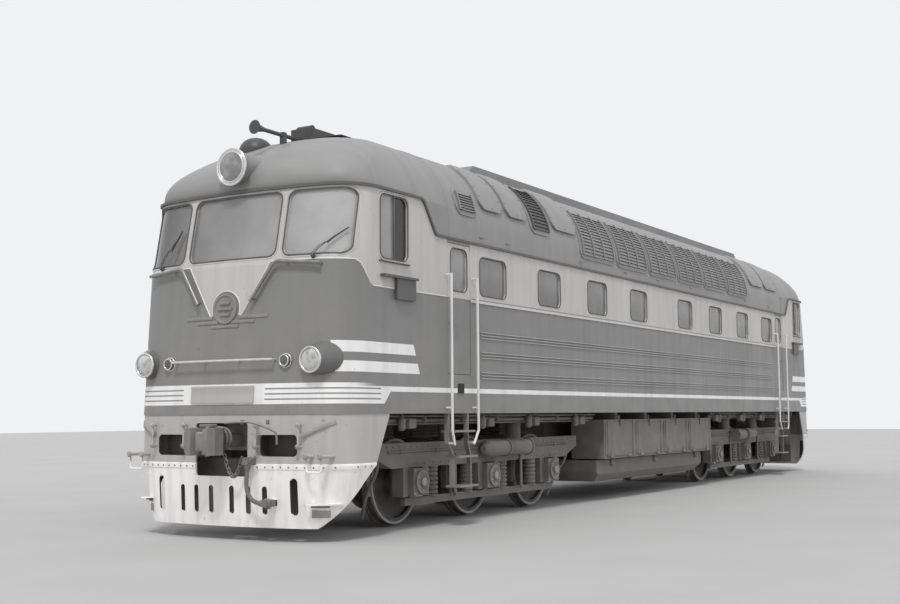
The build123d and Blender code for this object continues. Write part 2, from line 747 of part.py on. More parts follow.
with BuildPart() as engine_roof:
    add(roof_band(0, ROOF_SHEET, -CAB_REAR_X, CAB_REAR_X))
    raised = [(*sizes[:4], LOUVRE_RISE) for sizes in LOUVRE_PANELS]
    raised += [(*sizes, HATCH_RISE) for sizes in ROOF_HATCHES]
    for x_low, x_high, z_low, z_high, rise in raised:
        with BuildPart(mode=Mode.PRIVATE) as panel:
            add(roof_band(-rise, ROOF_SHEET / 2, x_low, x_high))
            with BuildSketch(ALONG.offset(-BODY_HALF_WIDTH - HATCH_RISE)):
                round_window(-x_high, -x_low, z_low, z_high, HATCH_CORNER)
            extrude(amount=2 * (BODY_HALF_WIDTH + HATCH_RISE), mode=Mode.INTERSECT)
        add(panel.part)
    # The lintels over the entrance doors
    doorway_x = (DOOR_REAR_X + CAB_REAR_X) / 2
    lintel_y = BODY_HALF_WIDTH - ROOF_SHEET / 2
    with BuildSketch(Plane.XY.offset(DOOR_TOP_Z)):
        with Locations([(x * doorway_x, y * lintel_y) for x in (1, -1) for y in (1, -1)]):
            Rectangle(CAB_REAR_X - DOOR_REAR_X, ROOF_SHEET)
    extrude(amount=GUTTER_Z - DOOR_TOP_Z)
save(engine_roof, "engine_roof")


# Louvres on the roof's shoulders: slats that follow the shoulder's arc between upright bars
def shoulder_point(radius, angle):
    """A point of the left shoulder at a radius from its centre and an angle above the level."""
    centre_y = BODY_HALF_WIDTH - SHOULDER_RADIUS
    return (centre_y + radius * cos(radians(angle)), SHOULDER_Z + radius * sin(radians(angle)))


def louvre(x_low, x_high, z_low, z_high, rows, columns):
    """One louvred panel of the left shoulder as a single solid."""
    seat = SHOULDER_RADIUS + LOUVRE_RISE
    low_angle = degrees(asin((z_low + LOUVRE_MARGIN - SHOULDER_Z) / seat))
    high_angle = degrees(asin((z_high - LOUVRE_MARGIN - SHOULDER_Z) / seat))
    pitch = (high_angle - low_angle) / rows
    teeth = []
    for row in range(rows):
        teeth.append(shoulder_point(seat + LOUVRE_TOOTH, low_angle + row * pitch))
        teeth.append(shoulder_point(seat + LOUVRE_STEP, low_angle + (row + 1) * pitch))
    middle = (low_angle + high_angle) / 2
    with BuildPart() as panel:
        with BuildSketch(ACROSS.offset(x_low + LOUVRE_MARGIN)):
            with BuildLine():
                Polyline(shoulder_point(seat, low_angle), *teeth, shoulder_point(seat, high_angle))
                ThreePointArc(shoulder_point(seat, high_angle), shoulder_point(seat, middle),
                              shoulder_point(seat, low_angle))
            make_face()
        extrude(amount=x_high - x_low - 2 * LOUVRE_MARGIN)
        span = x_high - x_low - 2 * LOUVRE_MARGIN - LOUVRE_BAR_WIDTH
        for column in range(columns + 1):
            with BuildSketch(ACROSS.offset(x_low + LOUVRE_MARGIN + column * span / columns)):
                with BuildLine():
                    outer = seat + LOUVRE_BAR_RISE
                    bar = ThreePointArc(shoulder_point(outer, low_angle), shoulder_point(outer, middle),
                                        shoulder_point(outer, high_angle))
                    Line(bar @ 1, shoulder_point(seat, high_angle))
                    ThreePointArc(shoulder_point(seat, high_angle), shoulder_point(seat, middle),
                                  shoulder_point(seat, low_angle))
                    Line(shoulder_point(seat, low_angle), bar @ 0)
                make_face()
            extrude(amount=LOUVRE_BAR_WIDTH)
    return panel.part


with BuildPart() as roof_louvres:
    for panel_sizes in LOUVRE_PANELS:
        add(louvre(*panel_sizes))
    mirror(about=Plane.XZ)
save(roof_louvres, "roof_louvres")

# The raised duct along the middle of the roof, seated on the crown
with BuildPart() as roof_duct:
    with BuildSketch(ALONG.offset(-DUCT_HALF_WIDTH)):
        with BuildLine():
            base_z = SHOULDER_TOP_Z
            top_z = CROWN_Z + DUCT_HEIGHT
            Polyline((-DUCT_FRONT_X, base_z), (-DUCT_FRONT_X + DUCT_HEIGHT * 3, top_z),
                     (-DUCT_REAR_X - DUCT_HEIGHT * 3, top_z), (-DUCT_REAR_X, base_z), close=True)
        make_face()
    extrude(amount=2 * DUCT_HALF_WIDTH)
    extrude(roof_section(0, GUTTER_Z, ACROSS.offset(-CAB_REAR_X)), amount=2 * CAB_REAR_X, dir=(1, 0, 0),
            mode=Mode.SUBTRACT)
save(roof_duct, "roof_duct")


# The floor and the frame that carries the body
beam_top = FLOOR_TOP_Z - FLOOR_THICKNESS
half_floor = nose_outline(beam_top, nose_x(FLOOR_TOP_Z), BODY_HALF_WIDTH, NOSE_CORNER_RADIUS, 0,
                          WALL + GLASS_GAP)
whole_floor = half_floor + half_floor.rotate(Axis.Z, 180)

with BuildPart() as underframe:
    extrude(whole_floor, amount=FLOOR_THICKNESS, dir=(0, 0, 1))
    with BuildSketch(Plane.XY.offset(beam_top)):
        Rectangle(2 * END_BEAM_X, 2 * CENTRE_SILL_HALF_WIDTH)
        for x in (BOGIE_PIVOT_X, -BOGIE_PIVOT_X):
            with Locations((x, 0)):
                Rectangle(2 * BEARER_X + BEARER_DIAMETER, 2 * BEARER_Y + BEARER_DIAMETER)
        for x in (END_BEAM_X - END_BEAM_LENGTH / 2, -END_BEAM_X + END_BEAM_LENGTH / 2):
            with Locations((x, 0)):
                Rectangle(END_BEAM_LENGTH, END_BEAM_WIDTH)
    extrude(amount=-CENTRE_SILL_DEPTH)
    # Pads under the ends of the end beams, for lifting jacks
    with BuildSketch(Plane.XY.offset(beam_top - CENTRE_SILL_DEPTH)):
        jack_x = END_BEAM_X - END_BEAM_LENGTH / 2
        jack_y = END_BEAM_WIDTH / 2 - JACK_PAD_INSET - JACK_PAD_SIZE / 2
        with Locations([(i * jack_x, j * jack_y) for i in (1, -1) for j in (1, -1)]):
            Rectangle(JACK_PAD_SIZE, JACK_PAD_SIZE)
    extrude(amount=-JACK_PAD_THICKNESS)
    with BuildSketch(Plane.XY.offset(beam_top)):
        for i in range(BATTERY_COUNT):
            with Locations((BATTERY_REAR_X + battery_pitch * (i + 0.5), 0)):
                Rectangle(OUTRIGGER_WIDTH, 2 * (BODY_HALF_WIDTH - WALL - GLASS_GAP))
    extrude(amount=-OUTRIGGER_DEPTH)
    for x in (BOGIE_PIVOT_X, -BOGIE_PIVOT_X):
        with BuildSketch(Plane.XY.offset(beam_top - CENTRE_SILL_DEPTH)):
            with Locations((x, 0)):
                Circle(PIVOT_DIAMETER / 2)
        extrude(amount=-(beam_top - CENTRE_SILL_DEPTH - PIVOT_BOTTOM_Z))
        with BuildSketch(Plane.XY.offset(beam_top - CENTRE_SILL_DEPTH)):
            with Locations([(x + i * BEARER_X, j * BEARER_Y) for i in (1, -1) for j in (1, -1)]):
                Circle(BEARER_DIAMETER / 2)
        extrude(amount=-(beam_top - CENTRE_SILL_DEPTH - FRAME_TOP_Z - BEARER_GAP))
save(underframe, "underframe")


# The walls behind the cabs, which close the engine room
with BuildPart() as front_bulkhead:
    with BuildSketch(ACROSS.offset(CAB_REAR_X + GLASS_GAP)):
        with Locations((0, (FLOOR_TOP_Z + VISOR_Z) / 2)):
            Rectangle(2 * (BODY_HALF_WIDTH - WALL - GLASS_GAP), VISOR_Z - FLOOR_TOP_Z - 2 * GLASS_GAP)
    extrude(amount=BULKHEAD_THICKNESS)
save(at_both_ends(front_bulkhead.part), "bulkheads")


# The desk under the windshields and the two seats of each cab
with BuildPart() as front_desk:
    add(cab_wall(WALL + GLASS_GAP, low_z=FLOOR_TOP_Z + GLASS_GAP, high_z=DESK_TOP_Z))
    with BuildSketch(ALONG.offset(-BODY_HALF_WIDTH)):
        with BuildLine():
            Polyline((-DESK_REAR_X, DESK_TOP_Z - DESK_SLOPE),
                     (-DESK_REAR_X - DESK_LEG_SETBACK, FLOOR_TOP_Z), (-NOSE_SKIRT_X, FLOOR_TOP_Z),
                     (-NOSE_SKIRT_X, DESK_TOP_Z), close=True)
        make_face()
    extrude(amount=2 * BODY_HALF_WIDTH, mode=Mode.INTERSECT)

with BuildPart() as front_seats:
    for y in (SEAT_Y, -SEAT_Y):
        with BuildSketch(Plane.XY.offset(FLOOR_TOP_Z + GLASS_GAP)):
            with Locations((SEAT_X, y)):
                Circle(SEAT_POST_DIAMETER / 2)
        extrude(amount=SEAT_HEIGHT - SEAT_CUSHION)
        with BuildSketch(Plane.XY.offset(FLOOR_TOP_Z + SEAT_HEIGHT - SEAT_CUSHION)):
            with Locations((SEAT_X, y)):
                RectangleRounded(SEAT_WIDTH, SEAT_WIDTH, SEAT_CORNER)
        extrude(amount=SEAT_CUSHION)
        with BuildSketch(ACROSS.offset(SEAT_X - SEAT_WIDTH / 2)):
            back_z = FLOOR_TOP_Z + SEAT_HEIGHT + (SEAT_BACK_HEIGHT - SEAT_CUSHION) / 2
            with Locations((y, back_z)):
                RectangleRounded(SEAT_WIDTH, SEAT_BACK_HEIGHT + SEAT_CUSHION, SEAT_CORNER)
        extrude(amount=SEAT_CUSHION)
save(at_both_ends(front_desk.part), "cab_desks")
save(at_both_ends(front_seats.part), "cab_seats")

with BuildPart() as engine_block:
    with BuildSketch(Plane.XY.offset(FLOOR_TOP_Z + GLASS_GAP)):
        Rectangle(ENGINE_LENGTH, ENGINE_WIDTH)
    extrude(amount=ENGINE_HEIGHT)
save(engine_block, "engine_block")


# The pilot: a sheet apron that follows the nose, with slots and the coupler's opening
def pilot_form(inset, overrun):
    """The pilot's closed form, drawn in by inset and longer by overrun above and below."""
    levels = (
        (PILOT_BOTTOM_Z - overrun, PILOT_BOTTOM_X, PILOT_BOTTOM_HALF_WIDTH),
        (PILOT_WAIST_Z, NOSE_SKIRT_X - PILOT_STEP, BODY_HALF_WIDTH - PILOT_STEP),
        (SKIRT_BOTTOM_Z + overrun, NOSE_SKIRT_X - PILOT_STEP, BODY_HALF_WIDTH - PILOT_STEP),
    )
    with BuildPart() as form:
        for z, front_x, half_width in levels:
            add(nose_outline(z, front_x, half_width, NOSE_CORNER_RADIUS, PILOT_FORM_REAR_X, inset))
        loft(ruled=True)
    return form.part


def pilot_ring(reach, z_low, z_high, y_low, y_high):
    """A ring round the pilot's sheet between two heights and two distances from the middle."""
    with BuildPart() as ring:
        add(pilot_form(-reach, 0))
        add(pilot_form(PILOT_SHEET / 2, 1), mode=Mode.SUBTRACT)
        with BuildSketch(Plane.XY.offset(z_low)):
            for side in (1, -1):
                with Locations((PILOT_BOTTOM_X, side * (y_low + y_high) / 2)):
                    Rectangle(2 * (PILOT_BOTTOM_X - PILOT_FORM_REAR_X), y_high - y_low)
        extrude(amount=z_high - z_low, mode=Mode.INTERSECT)
    return ring.part


def pilot_pocket(side):
    """The pressed pocket beside the coupler: an open tray behind the pilot's sheet."""
    back_x = nose_surface_x(POCKET_OUTER_Y, POCKET_TOP_Z) - PILOT_STEP - POCKET_DEPTH
    with BuildPart() as tray:
        with BuildSketch(ACROSS.offset(back_x)):
            round_window(side * POCKET_INNER_Y - POCKET_SHEET, side * POCKET_OUTER_Y + POCKET_SHEET,
                         POCKET_BOTTOM_Z - POCKET_SHEET, POCKET_TOP_Z + POCKET_SHEET,
                         POCKET_CORNER + POCKET_SHEET)
        extrude(amount=2 * POCKET_DEPTH)
        with BuildSketch(ACROSS.offset(back_x + POCKET_SHEET)):
            round_window(side * POCKET_INNER_Y, side * POCKET_OUTER_Y, POCKET_BOTTOM_Z, POCKET_TOP_Z,
                         POCKET_CORNER)
        extrude(amount=2 * POCKET_DEPTH, mode=Mode.SUBTRACT)
        add(pilot_form(PILOT_SHEET / 2, 1), mode=Mode.INTERSECT)
    return tray.part


def bent_rod(points, bend, diameter, plane):
    """A round rod bent at its corners, drawn on a plane."""
    with BuildPart() as rod:
        with BuildLine(plane) as path:
            FilletPolyline(*points, radius=bend)
        line = path.wires()[0]
        with BuildSketch(Plane(origin=line @ 0, z_dir=line % 0)):
            Circle(diameter / 2)
        sweep(path=line)
    return rod.part


def pilot_hook(y):
    """A hook of bent rod for the coupling's safety chain."""
    start_x = nose_surface_x(abs(y), SKIRT_BOTTOM_Z) - PILOT_STEP - PILOT_SHEET / 2
    reach_x = start_x + PILOT_SHEET / 2 + HOOK_REACH
    points = ((-start_x, HOOK_TOP_Z), (-reach_x, HOOK_TOP_Z), (-reach_x, HOOK_BOTTOM_Z),
              (-start_x, HOOK_BOTTOM_Z))
    return bent_rod(points, HOOK_BEND, HOOK_DIAMETER, ALONG.offset(y))


def pilot_stirrup(side):
    """A foot stirrup that hangs from two bosses at the pilot's corner."""
    face_x = nose_surface_x(STIRRUP_OUTER_Y, STIRRUP_TOP_Z) - PILOT_STEP
    hang_x = nose_surface_x(STIRRUP_INNER_Y, STIRRUP_TOP_Z) - PILOT_STEP + STIRRUP_REACH
    inner_y = side * STIRRUP_INNER_Y
    outer_y = side * STIRRUP_OUTER_Y
    points = ((inner_y, STIRRUP_TOP_Z), (inner_y, STIRRUP_BOTTOM_Z), (outer_y, STIRRUP_BOTTOM_Z),
              (outer_y, STIRRUP_TOP_Z))
    with BuildPart() as stirrup:
        add(bent_rod(points, STIRRUP_BEND, STIRRUP_DIAMETER, ACROSS.offset(hang_x)))
        for y in (inner_y, outer_y):
            with BuildSketch(ACROSS.offset(face_x - STIRRUP_OUTER_Y / 4)):
                with Locations((y, STIRRUP_TOP_Z)):
                    Circle(STIRRUP_BOSS_DIAMETER / 2)
            extrude(amount=hang_x + STIRRUP_DIAMETER - face_x + STIRRUP_OUTER_Y / 4)
        add(pilot_form(PILOT_SHEET / 2, 1), mode=Mode.SUBTRACT)
    return stirrup.part


def pilot_lever(side):
    """The flat uncoupling lever that lies along the pilot's face."""
    with BuildPart() as lever:
        with BuildSketch(ACROSS.offset(PILOT_FORM_REAR_X)):
            with BuildLine():
                Line((side * LEVER_INNER_Y, LEVER_INNER_Z), (side * LEVER_OUTER_Y, LEVER_OUTER_Z))
            trace(line_width=LEVER_WIDTH)
        extrude(amount=COUPLER_FACE_X - PILOT_FORM_REAR_X)
        add(pilot_form(-LEVER_RISE, 0), mode=Mode.INTERSECT)
        add(pilot_form(PILOT_SHEET / 2, 1), mode=Mode.SUBTRACT)
    return lever.part


with BuildPart() as front_pilot:
    add(pilot_form(0, 0))
    add(pilot_form(PILOT_SHEET, 1), mode=Mode.SUBTRACT)
    add(pilot_ring(STRIP_RISE, STRIP_BOTTOM_Z, STRIP_BOTTOM_Z + STRIP_HEIGHT, 0, BODY_HALF_WIDTH))
    with BuildSketch(ALONG.offset(-BODY_HALF_WIDTH)):
        with BuildLine():
            Polyline((-PILOT_TOP_REAR_X, SKIRT_BOTTOM_Z), (-PILOT_WAIST_REAR_X, PILOT_WAIST_Z),
                     (-PILOT_BOTTOM_REAR_X, PILOT_BOTTOM_Z), (-COUPLER_FACE_X, PILOT_BOTTOM_Z),
                     (-COUPLER_FACE_X, SKIRT_BOTTOM_Z), close=True)
        make_face()
    extrude(amount=2 * BODY_HALF_WIDTH, mode=Mode.INTERSECT)
    with BuildSketch(ACROSS.offset(PILOT_TOP_REAR_X)):
        round_window(-COUPLER_OPENING_Y, COUPLER_OPENING_Y, COUPLER_OPENING_BOTTOM_Z,
                     COUPLER_OPENING_TOP_Z, COUPLER_OPENING_CORNER)
        for y, width, low_z, high_z in PILOT_SLOTS:
            for side in (1, -1):
                with Locations((side * y, (low_z + high_z) / 2)):
                    SlotOverall(high_z - low_z, width, rotation=90)
        for side in (1, -1):
            round_window(side * POCKET_INNER_Y, side * POCKET_OUTER_Y, POCKET_BOTTOM_Z, POCKET_TOP_Z,
                         POCKET_CORNER)
    extrude(amount=COUPLER_FACE_X - PILOT_TOP_REAR_X, mode=Mode.SUBTRACT)
    for side in (1, -1):
        add(pilot_pocket(side))
        add(pilot_stirrup(side))
        add(pilot_lever(side))
        for y in HOOK_Y:
            add(pilot_hook(side * y))
    add(pilot_ring(CORNER_STEP_REACH, CORNER_STEP_Z, CORNER_STEP_Z + CORNER_STEP_THICKNESS,
                   CORNER_STEP_INNER_Y, CORNER_STEP_OUTER_Y))
    # The air cock beside the coupler's opening, and the holder that the hose's end is parked in
    for y_low, y_high, z_low, z_high in (
        (HOSE_ROUTE[0][0] - COCK_WIDTH / 2, HOSE_ROUTE[0][0] + COCK_WIDTH / 2,
         HOSE_ROUTE[0][1], HOSE_ROUTE[0][1] + COCK_WIDTH),
        (HOSE_ROUTE[-1][0], HOSE_ROUTE[-1][0] + COCK_WIDTH,
         HOSE_ROUTE[-1][1] - COCK_WIDTH / 2, HOSE_ROUTE[-1][1] + COCK_WIDTH / 2),
    ):
        with BuildPart(mode=Mode.PRIVATE) as holder:
            with BuildSketch(ACROSS.offset(PILOT_BOTTOM_X - NOSE_SAG)):
                round_window(y_low, y_high, z_low, z_high, COCK_CORNER)
            extrude(amount=HOSE_X + COCK_WIDTH / 2 - PILOT_BOTTOM_X + NOSE_SAG)
            add(pilot_form(PILOT_SHEET / 2, 1), mode=Mode.SUBTRACT)
        add(holder.part)
save(front_pilot, "front_pilot")
save(rear_of(front_pilot.part), "rear_pilot")


# The air hose hangs from its cock in one bend to its holder
def cord_radii(route):
    """The bend radius at each inner point of a route, as large as its two runs allow."""
    radii = []
    for before, point, after in zip(route, route[1:], route[2:]):
        first = Vector(*point) - Vector(*before)
        second = Vector(*after) - Vector(*point)
        turn = radians(first.get_angle(second))
        radii.append(HOSE_BEND_SHARE * min(first.length, second.length) / tan(turn / 2))
    return radii


with BuildPart() as front_brake_hose:
    with BuildLine(ACROSS.offset(HOSE_X)) as hose_path:
        FilletPolyline(*HOSE_ROUTE, radius=cord_radii(HOSE_ROUTE))
    hose_line = hose_path.wires()[0]
    with BuildSketch(Plane(origin=hose_line @ 0, z_dir=hose_line % 0)):
        Circle(HOSE_DIAMETER / 2)
    sweep(path=hose_line)
hose_section = pi * HOSE_DIAMETER ** 2 / 4
print("hose radii", [round(radius) for radius in cord_radii(HOSE_ROUTE)])
print("hose length", round(hose_line.length))
print("hose volume over section times length",
      round(front_brake_hose.part.volume / (hose_section * hose_line.length), 4))
save(front_brake_hose, "front_brake_hose")
save(rear_of(front_brake_hose.part), "rear_brake_hose")


# The automatic coupler: a shank from the end beam to a head with its jaw
with BuildPart() as front_coupler:
    with BuildSketch(Plane.XY.offset(COUPLER_Z - COUPLER_HEAD_HEIGHT / 2)):
        with BuildLine():
            half = COUPLER_HEAD_WIDTH / 2
            back_x = COUPLER_FACE_X - COUPLER_HEAD_LENGTH
            Polyline((back_x + COUPLER_HEAD_TAPER, half), (back_x, COUPLER_HEAD_REAR_WIDTH / 2),
                     (back_x, -COUPLER_HEAD_REAR_WIDTH / 2), (back_x + COUPLER_HEAD_TAPER, -half),
                     *[(COUPLER_FACE_X - behind, y) for behind, y in JAW_OUTLINE], close=True)
        make_face()
    extrude(amount=COUPLER_HEAD_HEIGHT)
    with BuildSketch(ACROSS.offset(COUPLER_REAR_X)):
        with Locations((0, COUPLER_Z)):
            Rectangle(COUPLER_SHANK_WIDTH, COUPLER_SHANK_HEIGHT)
    extrude(amount=COUPLER_FACE_X - COUPLER_HEAD_LENGTH - COUPLER_REAR_X)
    with BuildSketch(ACROSS.offset(COUPLER_REAR_X - DRAFT_GEAR_LENGTH)):
        with Locations((0, (COUPLER_Z + DRAFT_GEAR_DROP + beam_top - CENTRE_SILL_DEPTH) / 2)):
            Rectangle(DRAFT_GEAR_WIDTH,
                      beam_top - CENTRE_SILL_DEPTH - GLASS_GAP - (COUPLER_Z + DRAFT_GEAR_DROP))
    extrude(amount=DRAFT_GEAR_LENGTH)
save(front_coupler, "front_coupler")
save(rear_of(front_coupler.part), "rear_coupler")


# Lamps: the large one over the windshields, two in faired housings low on each nose
with BuildPart() as front_roof_lamp:
    with BuildSketch(ACROSS.offset(ROOF_LAMP_X - ROOF_LAMP_LENGTH)):
        with Locations((0, ROOF_LAMP_Z)):
            Circle(ROOF_LAMP_DIAMETER / 2 - LAMP_RIM)
    extrude(amount=ROOF_LAMP_LENGTH - LAMP_RIM)
    with BuildSketch(ACROSS.offset(ROOF_LAMP_X - LAMP_RIM)):
        with Locations((0, ROOF_LAMP_Z)):
            Circle(ROOF_LAMP_DIAMETER / 2)
    extrude(amount=LAMP_RIM)
    add(front_cab_roof.part, mode=Mode.SUBTRACT)
save(at_both_ends(front_roof_lamp.part), "roof_lamps")

with BuildPart() as front_lower_lamps:
    for side in (1, -1):
        with BuildSketch(Plane.XY.offset(LOWER_LAMP_Z)):
            with BuildLine():
                radius = LOWER_LAMP_DIAMETER / 2
                y = side * LOWER_LAMP_Y
                rim = Polyline((LOWER_LAMP_X, y), (LOWER_LAMP_X, y + radius),
                               (LOWER_LAMP_X - LAMP_RIM, y + radius))
                swell = (LOWER_LAMP_X - LOWER_LAMP_SWELL_X, y + radius + LOWER_LAMP_SWELL)
                egg = ThreePointArc(rim @ 1, swell, (LOWER_LAMP_X - LOWER_LAMP_LENGTH, y))
                Line(egg @ 1, rim @ 0)
            make_face()
        revolve(axis=Axis((0, side * LOWER_LAMP_Y, LOWER_LAMP_Z), (1, 0, 0)))
        with BuildSketch(ACROSS.offset(nose_x(LOWER_LAMP_Z) - NOSE_SAG)):
            with Locations((side * MARKER_Y, LOWER_LAMP_Z)):
                Circle(MARKER_DIAMETER / 2)
        extrude(amount=NOSE_SAG + MARKER_STEP - NOSE_SAG * (MARKER_Y / BODY_HALF_WIDTH) ** 2)
    add(cab_wall(0), mode=Mode.SUBTRACT)
save(at_both_ends(front_lower_lamps.part), "lower_lamps")


# Four entrance doors, each hinged at the edge nearer the middle and swinging inwards
def for_each_corner(form, name):
    """Write a front left piece and its three mirror images as nodes of their own."""
    for end, forward in BOTH_ENDS:
        at_end = form if forward > 0 else mirror(form, about=Plane.YZ)
        for side, leftward in BOTH_SIDES:
            placed = at_end if leftward > 0 else mirror(at_end, about=Plane.XZ)
            with BuildPart() as corner:
                add(placed)
            save(corner, f"{end}_{side}_{name}")


DOOR_X = (DOOR_REAR_X + DOOR_HINGE_GAP + CAB_REAR_X - DOOR_LOCK_GAP) / 2
DOOR_WIDTH = CAB_REAR_X - DOOR_LOCK_GAP - DOOR_REAR_X - DOOR_HINGE_GAP

with BuildPart() as door:
    with BuildSketch(ALONG.offset(DOOR_OUTER_Y - DOOR_THICKNESS)):
        with Locations((-DOOR_X, (DOOR_SILL_Z + DOOR_TOP_Z) / 2)):
            Rectangle(DOOR_WIDTH, DOOR_TOP_Z - DOOR_SILL_Z - 2 * DOOR_EDGE_GAP)
        with Locations((-DOOR_X, (DOOR_WINDOW_BOTTOM_Z + DOOR_WINDOW_TOP_Z) / 2)):
            RectangleRounded(DOOR_WINDOW_WIDTH, DOOR_WINDOW_TOP_Z - DOOR_WINDOW_BOTTOM_Z,
                             WINDOW_CORNER, mode=Mode.SUBTRACT)
    extrude(amount=DOOR_THICKNESS)
    handle_x = DOOR_X + DOOR_WIDTH / 2 - HANDLE_INSET
    with BuildSketch(ALONG.offset(DOOR_OUTER_Y)):
        with Locations((-handle_x, HANDLE_Z)):
            Circle(HANDLE_DIAMETER / 2)
    extrude(amount=HANDLE_STEP)
    with BuildSketch(ALONG.offset(DOOR_OUTER_Y + HANDLE_STEP - HANDLE_DIAMETER / 2)):
        with Locations((-handle_x + HANDLE_LENGTH / 2, HANDLE_Z)):
            RectangleRounded(HANDLE_LENGTH + HANDLE_DIAMETER, HANDLE_DIAMETER, HANDLE_CORNER)
    extrude(amount=HANDLE_DIAMETER / 2)
    # Knuckles on the inner face that turn on the hinge pins
    for hinge_z in HINGES_Z:
        with BuildSketch(Plane.XY.offset(hinge_z + HINGE_CLEARANCE)):
            with Locations((HINGE_X, HINGE_Y)):
                Circle(HINGE_KNUCKLE_DIAMETER / 2)
            with Locations(((DOOR_REAR_X + DOOR_HINGE_GAP + HINGE_X) / 2 + HINGE_KNUCKLE_DIAMETER / 4,
                            HINGE_Y + HINGE_KNUCKLE_DIAMETER / 4)):
                Rectangle(HINGE_X - DOOR_REAR_X - DOOR_HINGE_GAP + HINGE_KNUCKLE_DIAMETER / 2,
                          HINGE_KNUCKLE_DIAMETER / 2)
            with Locations((HINGE_X, HINGE_Y)):
                Circle(HINGE_PIN_DIAMETER / 2 + HINGE_CLEARANCE, mode=Mode.SUBTRACT)
        extrude(amount=HINGE_KNUCKLE_HEIGHT - HINGE_CLEARANCE)
for_each_corner(door.part, "door")

with BuildPart() as door_pane:
    with BuildSketch(ALONG.offset(DOOR_OUTER_Y - GLASS_DEPTH - GLASS_THICKNESS)):
        with Locations((-DOOR_X, (DOOR_WINDOW_BOTTOM_Z + DOOR_WINDOW_TOP_Z) / 2)):
            RectangleRounded(DOOR_WINDOW_WIDTH - 2 * GLASS_GAP,
                             DOOR_WINDOW_TOP_Z - DOOR_WINDOW_BOTTOM_Z - 2 * GLASS_GAP, WINDOW_CORNER)
    extrude(amount=GLASS_THICKNESS)
for_each_corner(door_pane.part, "door_glass")


def at_all_corners(form):
    """A front left piece with its three mirror images in one node."""
    with BuildPart() as four:
        add(form)
        mirror(form, about=Plane.YZ)
        mirror(about=Plane.XZ)
    return four


# Below each door: the sill panel with a hanging ladder
with BuildPart() as entrance:
    with BuildSketch(ALONG.offset(BODY_HALF_WIDTH - WALL)):
        with Locations((-(DOOR_REAR_X + CAB_REAR_X) / 2, (SKIRT_BOTTOM_Z + DOOR_SILL_Z) / 2)):
            Rectangle(CAB_REAR_X - DOOR_REAR_X, DOOR_SILL_Z - SKIRT_BOTTOM_Z)
    extrude(amount=WALL)
    with BuildSketch(ALONG.offset(BODY_HALF_WIDTH - WALL)):
        for top_x, low_x in ((LADDER_TOP_FRONT_X, LADDER_FRONT_X), (LADDER_TOP_REAR_X, LADDER_REAR_X)):
            with BuildLine():
                Polyline((-top_x, SKIRT_BOTTOM_Z + LADDER_BAR), (-top_x, LADDER_KNEE_HIGH_Z),
                         (-low_x, LADDER_KNEE_LOW_Z), (-low_x, LADDER_TREADS_Z[-1]))
            trace(line_width=LADDER_BAR)
    extrude(amount=WALL)
    treads = [(LADDER_TOP_TREAD_Z, LADDER_TOP_REAR_X, LADDER_TOP_FRONT_X)]
    treads += [(z, LADDER_REAR_X, LADDER_FRONT_X) for z in LADDER_TREADS_Z]
    for tread_z, tread_low_x, tread_high_x in treads:
        with BuildSketch(Plane.XY.offset(tread_z)):
            with Locations(((tread_low_x + tread_high_x) / 2,
                            BODY_HALF_WIDTH - WALL + TREAD_DEPTH / 2 - TREAD_SETBACK)):
                RectangleRounded(tread_high_x - tread_low_x + LADDER_BAR, TREAD_DEPTH, TREAD_CORNER)
        extrude(amount=TREAD_THICKNESS)
save(at_all_corners(entrance.part), "entrance_steps")

# The handrails beside the doors, bent inwards to the ladders at their lower ends
with BuildPart() as door_rails:
    for x, ladder in ((RAIL_FRONT_X, LADDER_TOP_FRONT_X), (RAIL_REAR_X, LADDER_TOP_REAR_X)):
        rail_y = BODY_HALF_WIDTH + RAIL_STEP
        with BuildLine() as rail_path:
            FilletPolyline((x, rail_y, RAIL_TOP_Z), (x, rail_y, RAIL_KINK_Z),
                           (ladder, rail_y, RAIL_BOTTOM_Z), radius=RAIL_BEND)
        with BuildSketch(Plane.XY.offset(RAIL_TOP_Z)):
            with Locations((x, rail_y)):
                Circle(RAIL_DIAMETER / 2)
        sweep(path=rail_path.line)
        for foot_x, foot_z in ((x, RAIL_TOP_Z - RAIL_DIAMETER / 2), (x, RAIL_FOOT_Z),
                               (ladder, RAIL_BOTTOM_Z + RAIL_DIAMETER / 2)):
            with BuildSketch(ALONG.offset(BODY_HALF_WIDTH)):
                with Locations((-foot_x, foot_z)):
                    Circle(RAIL_FOOT_DIAMETER / 2)
            extrude(amount=RAIL_STEP)
save(at_all_corners(door_rails.part), "door_rails")


# The handrail across each nose, and the grab rails bent down beside the vee
def grab_rail(side):
    """One grab rail of the nose with its feet."""
    line = [Vector(nose_surface_x(y, z) + GRAB_RAIL_STEP, side * y, z) for y, z in GRAB_RAIL_LINE]
    with BuildPart() as rail:
        with BuildLine() as path:
            FilletPolyline(*line, radius=GRAB_RAIL_BEND)
        wire = path.wires()[0]
        with BuildSketch(Plane(origin=wire @ 0, z_dir=wire % 0)):
            Circle(GRAB_RAIL_DIAMETER / 2)
        sweep(path=wire)
        for stretch, share in GRAB_RAIL_FEET:
            foot = line[stretch] + (line[stretch + 1] - line[stretch]) * share
            with BuildSketch(ACROSS.offset(foot.X)):
                with Locations((foot.Y, foot.Z)):
                    Circle(GRAB_RAIL_FOOT_DIAMETER / 2)
            extrude(amount=-GRAB_RAIL_STEP - NOSE_SAG / 2)
    return rail.part


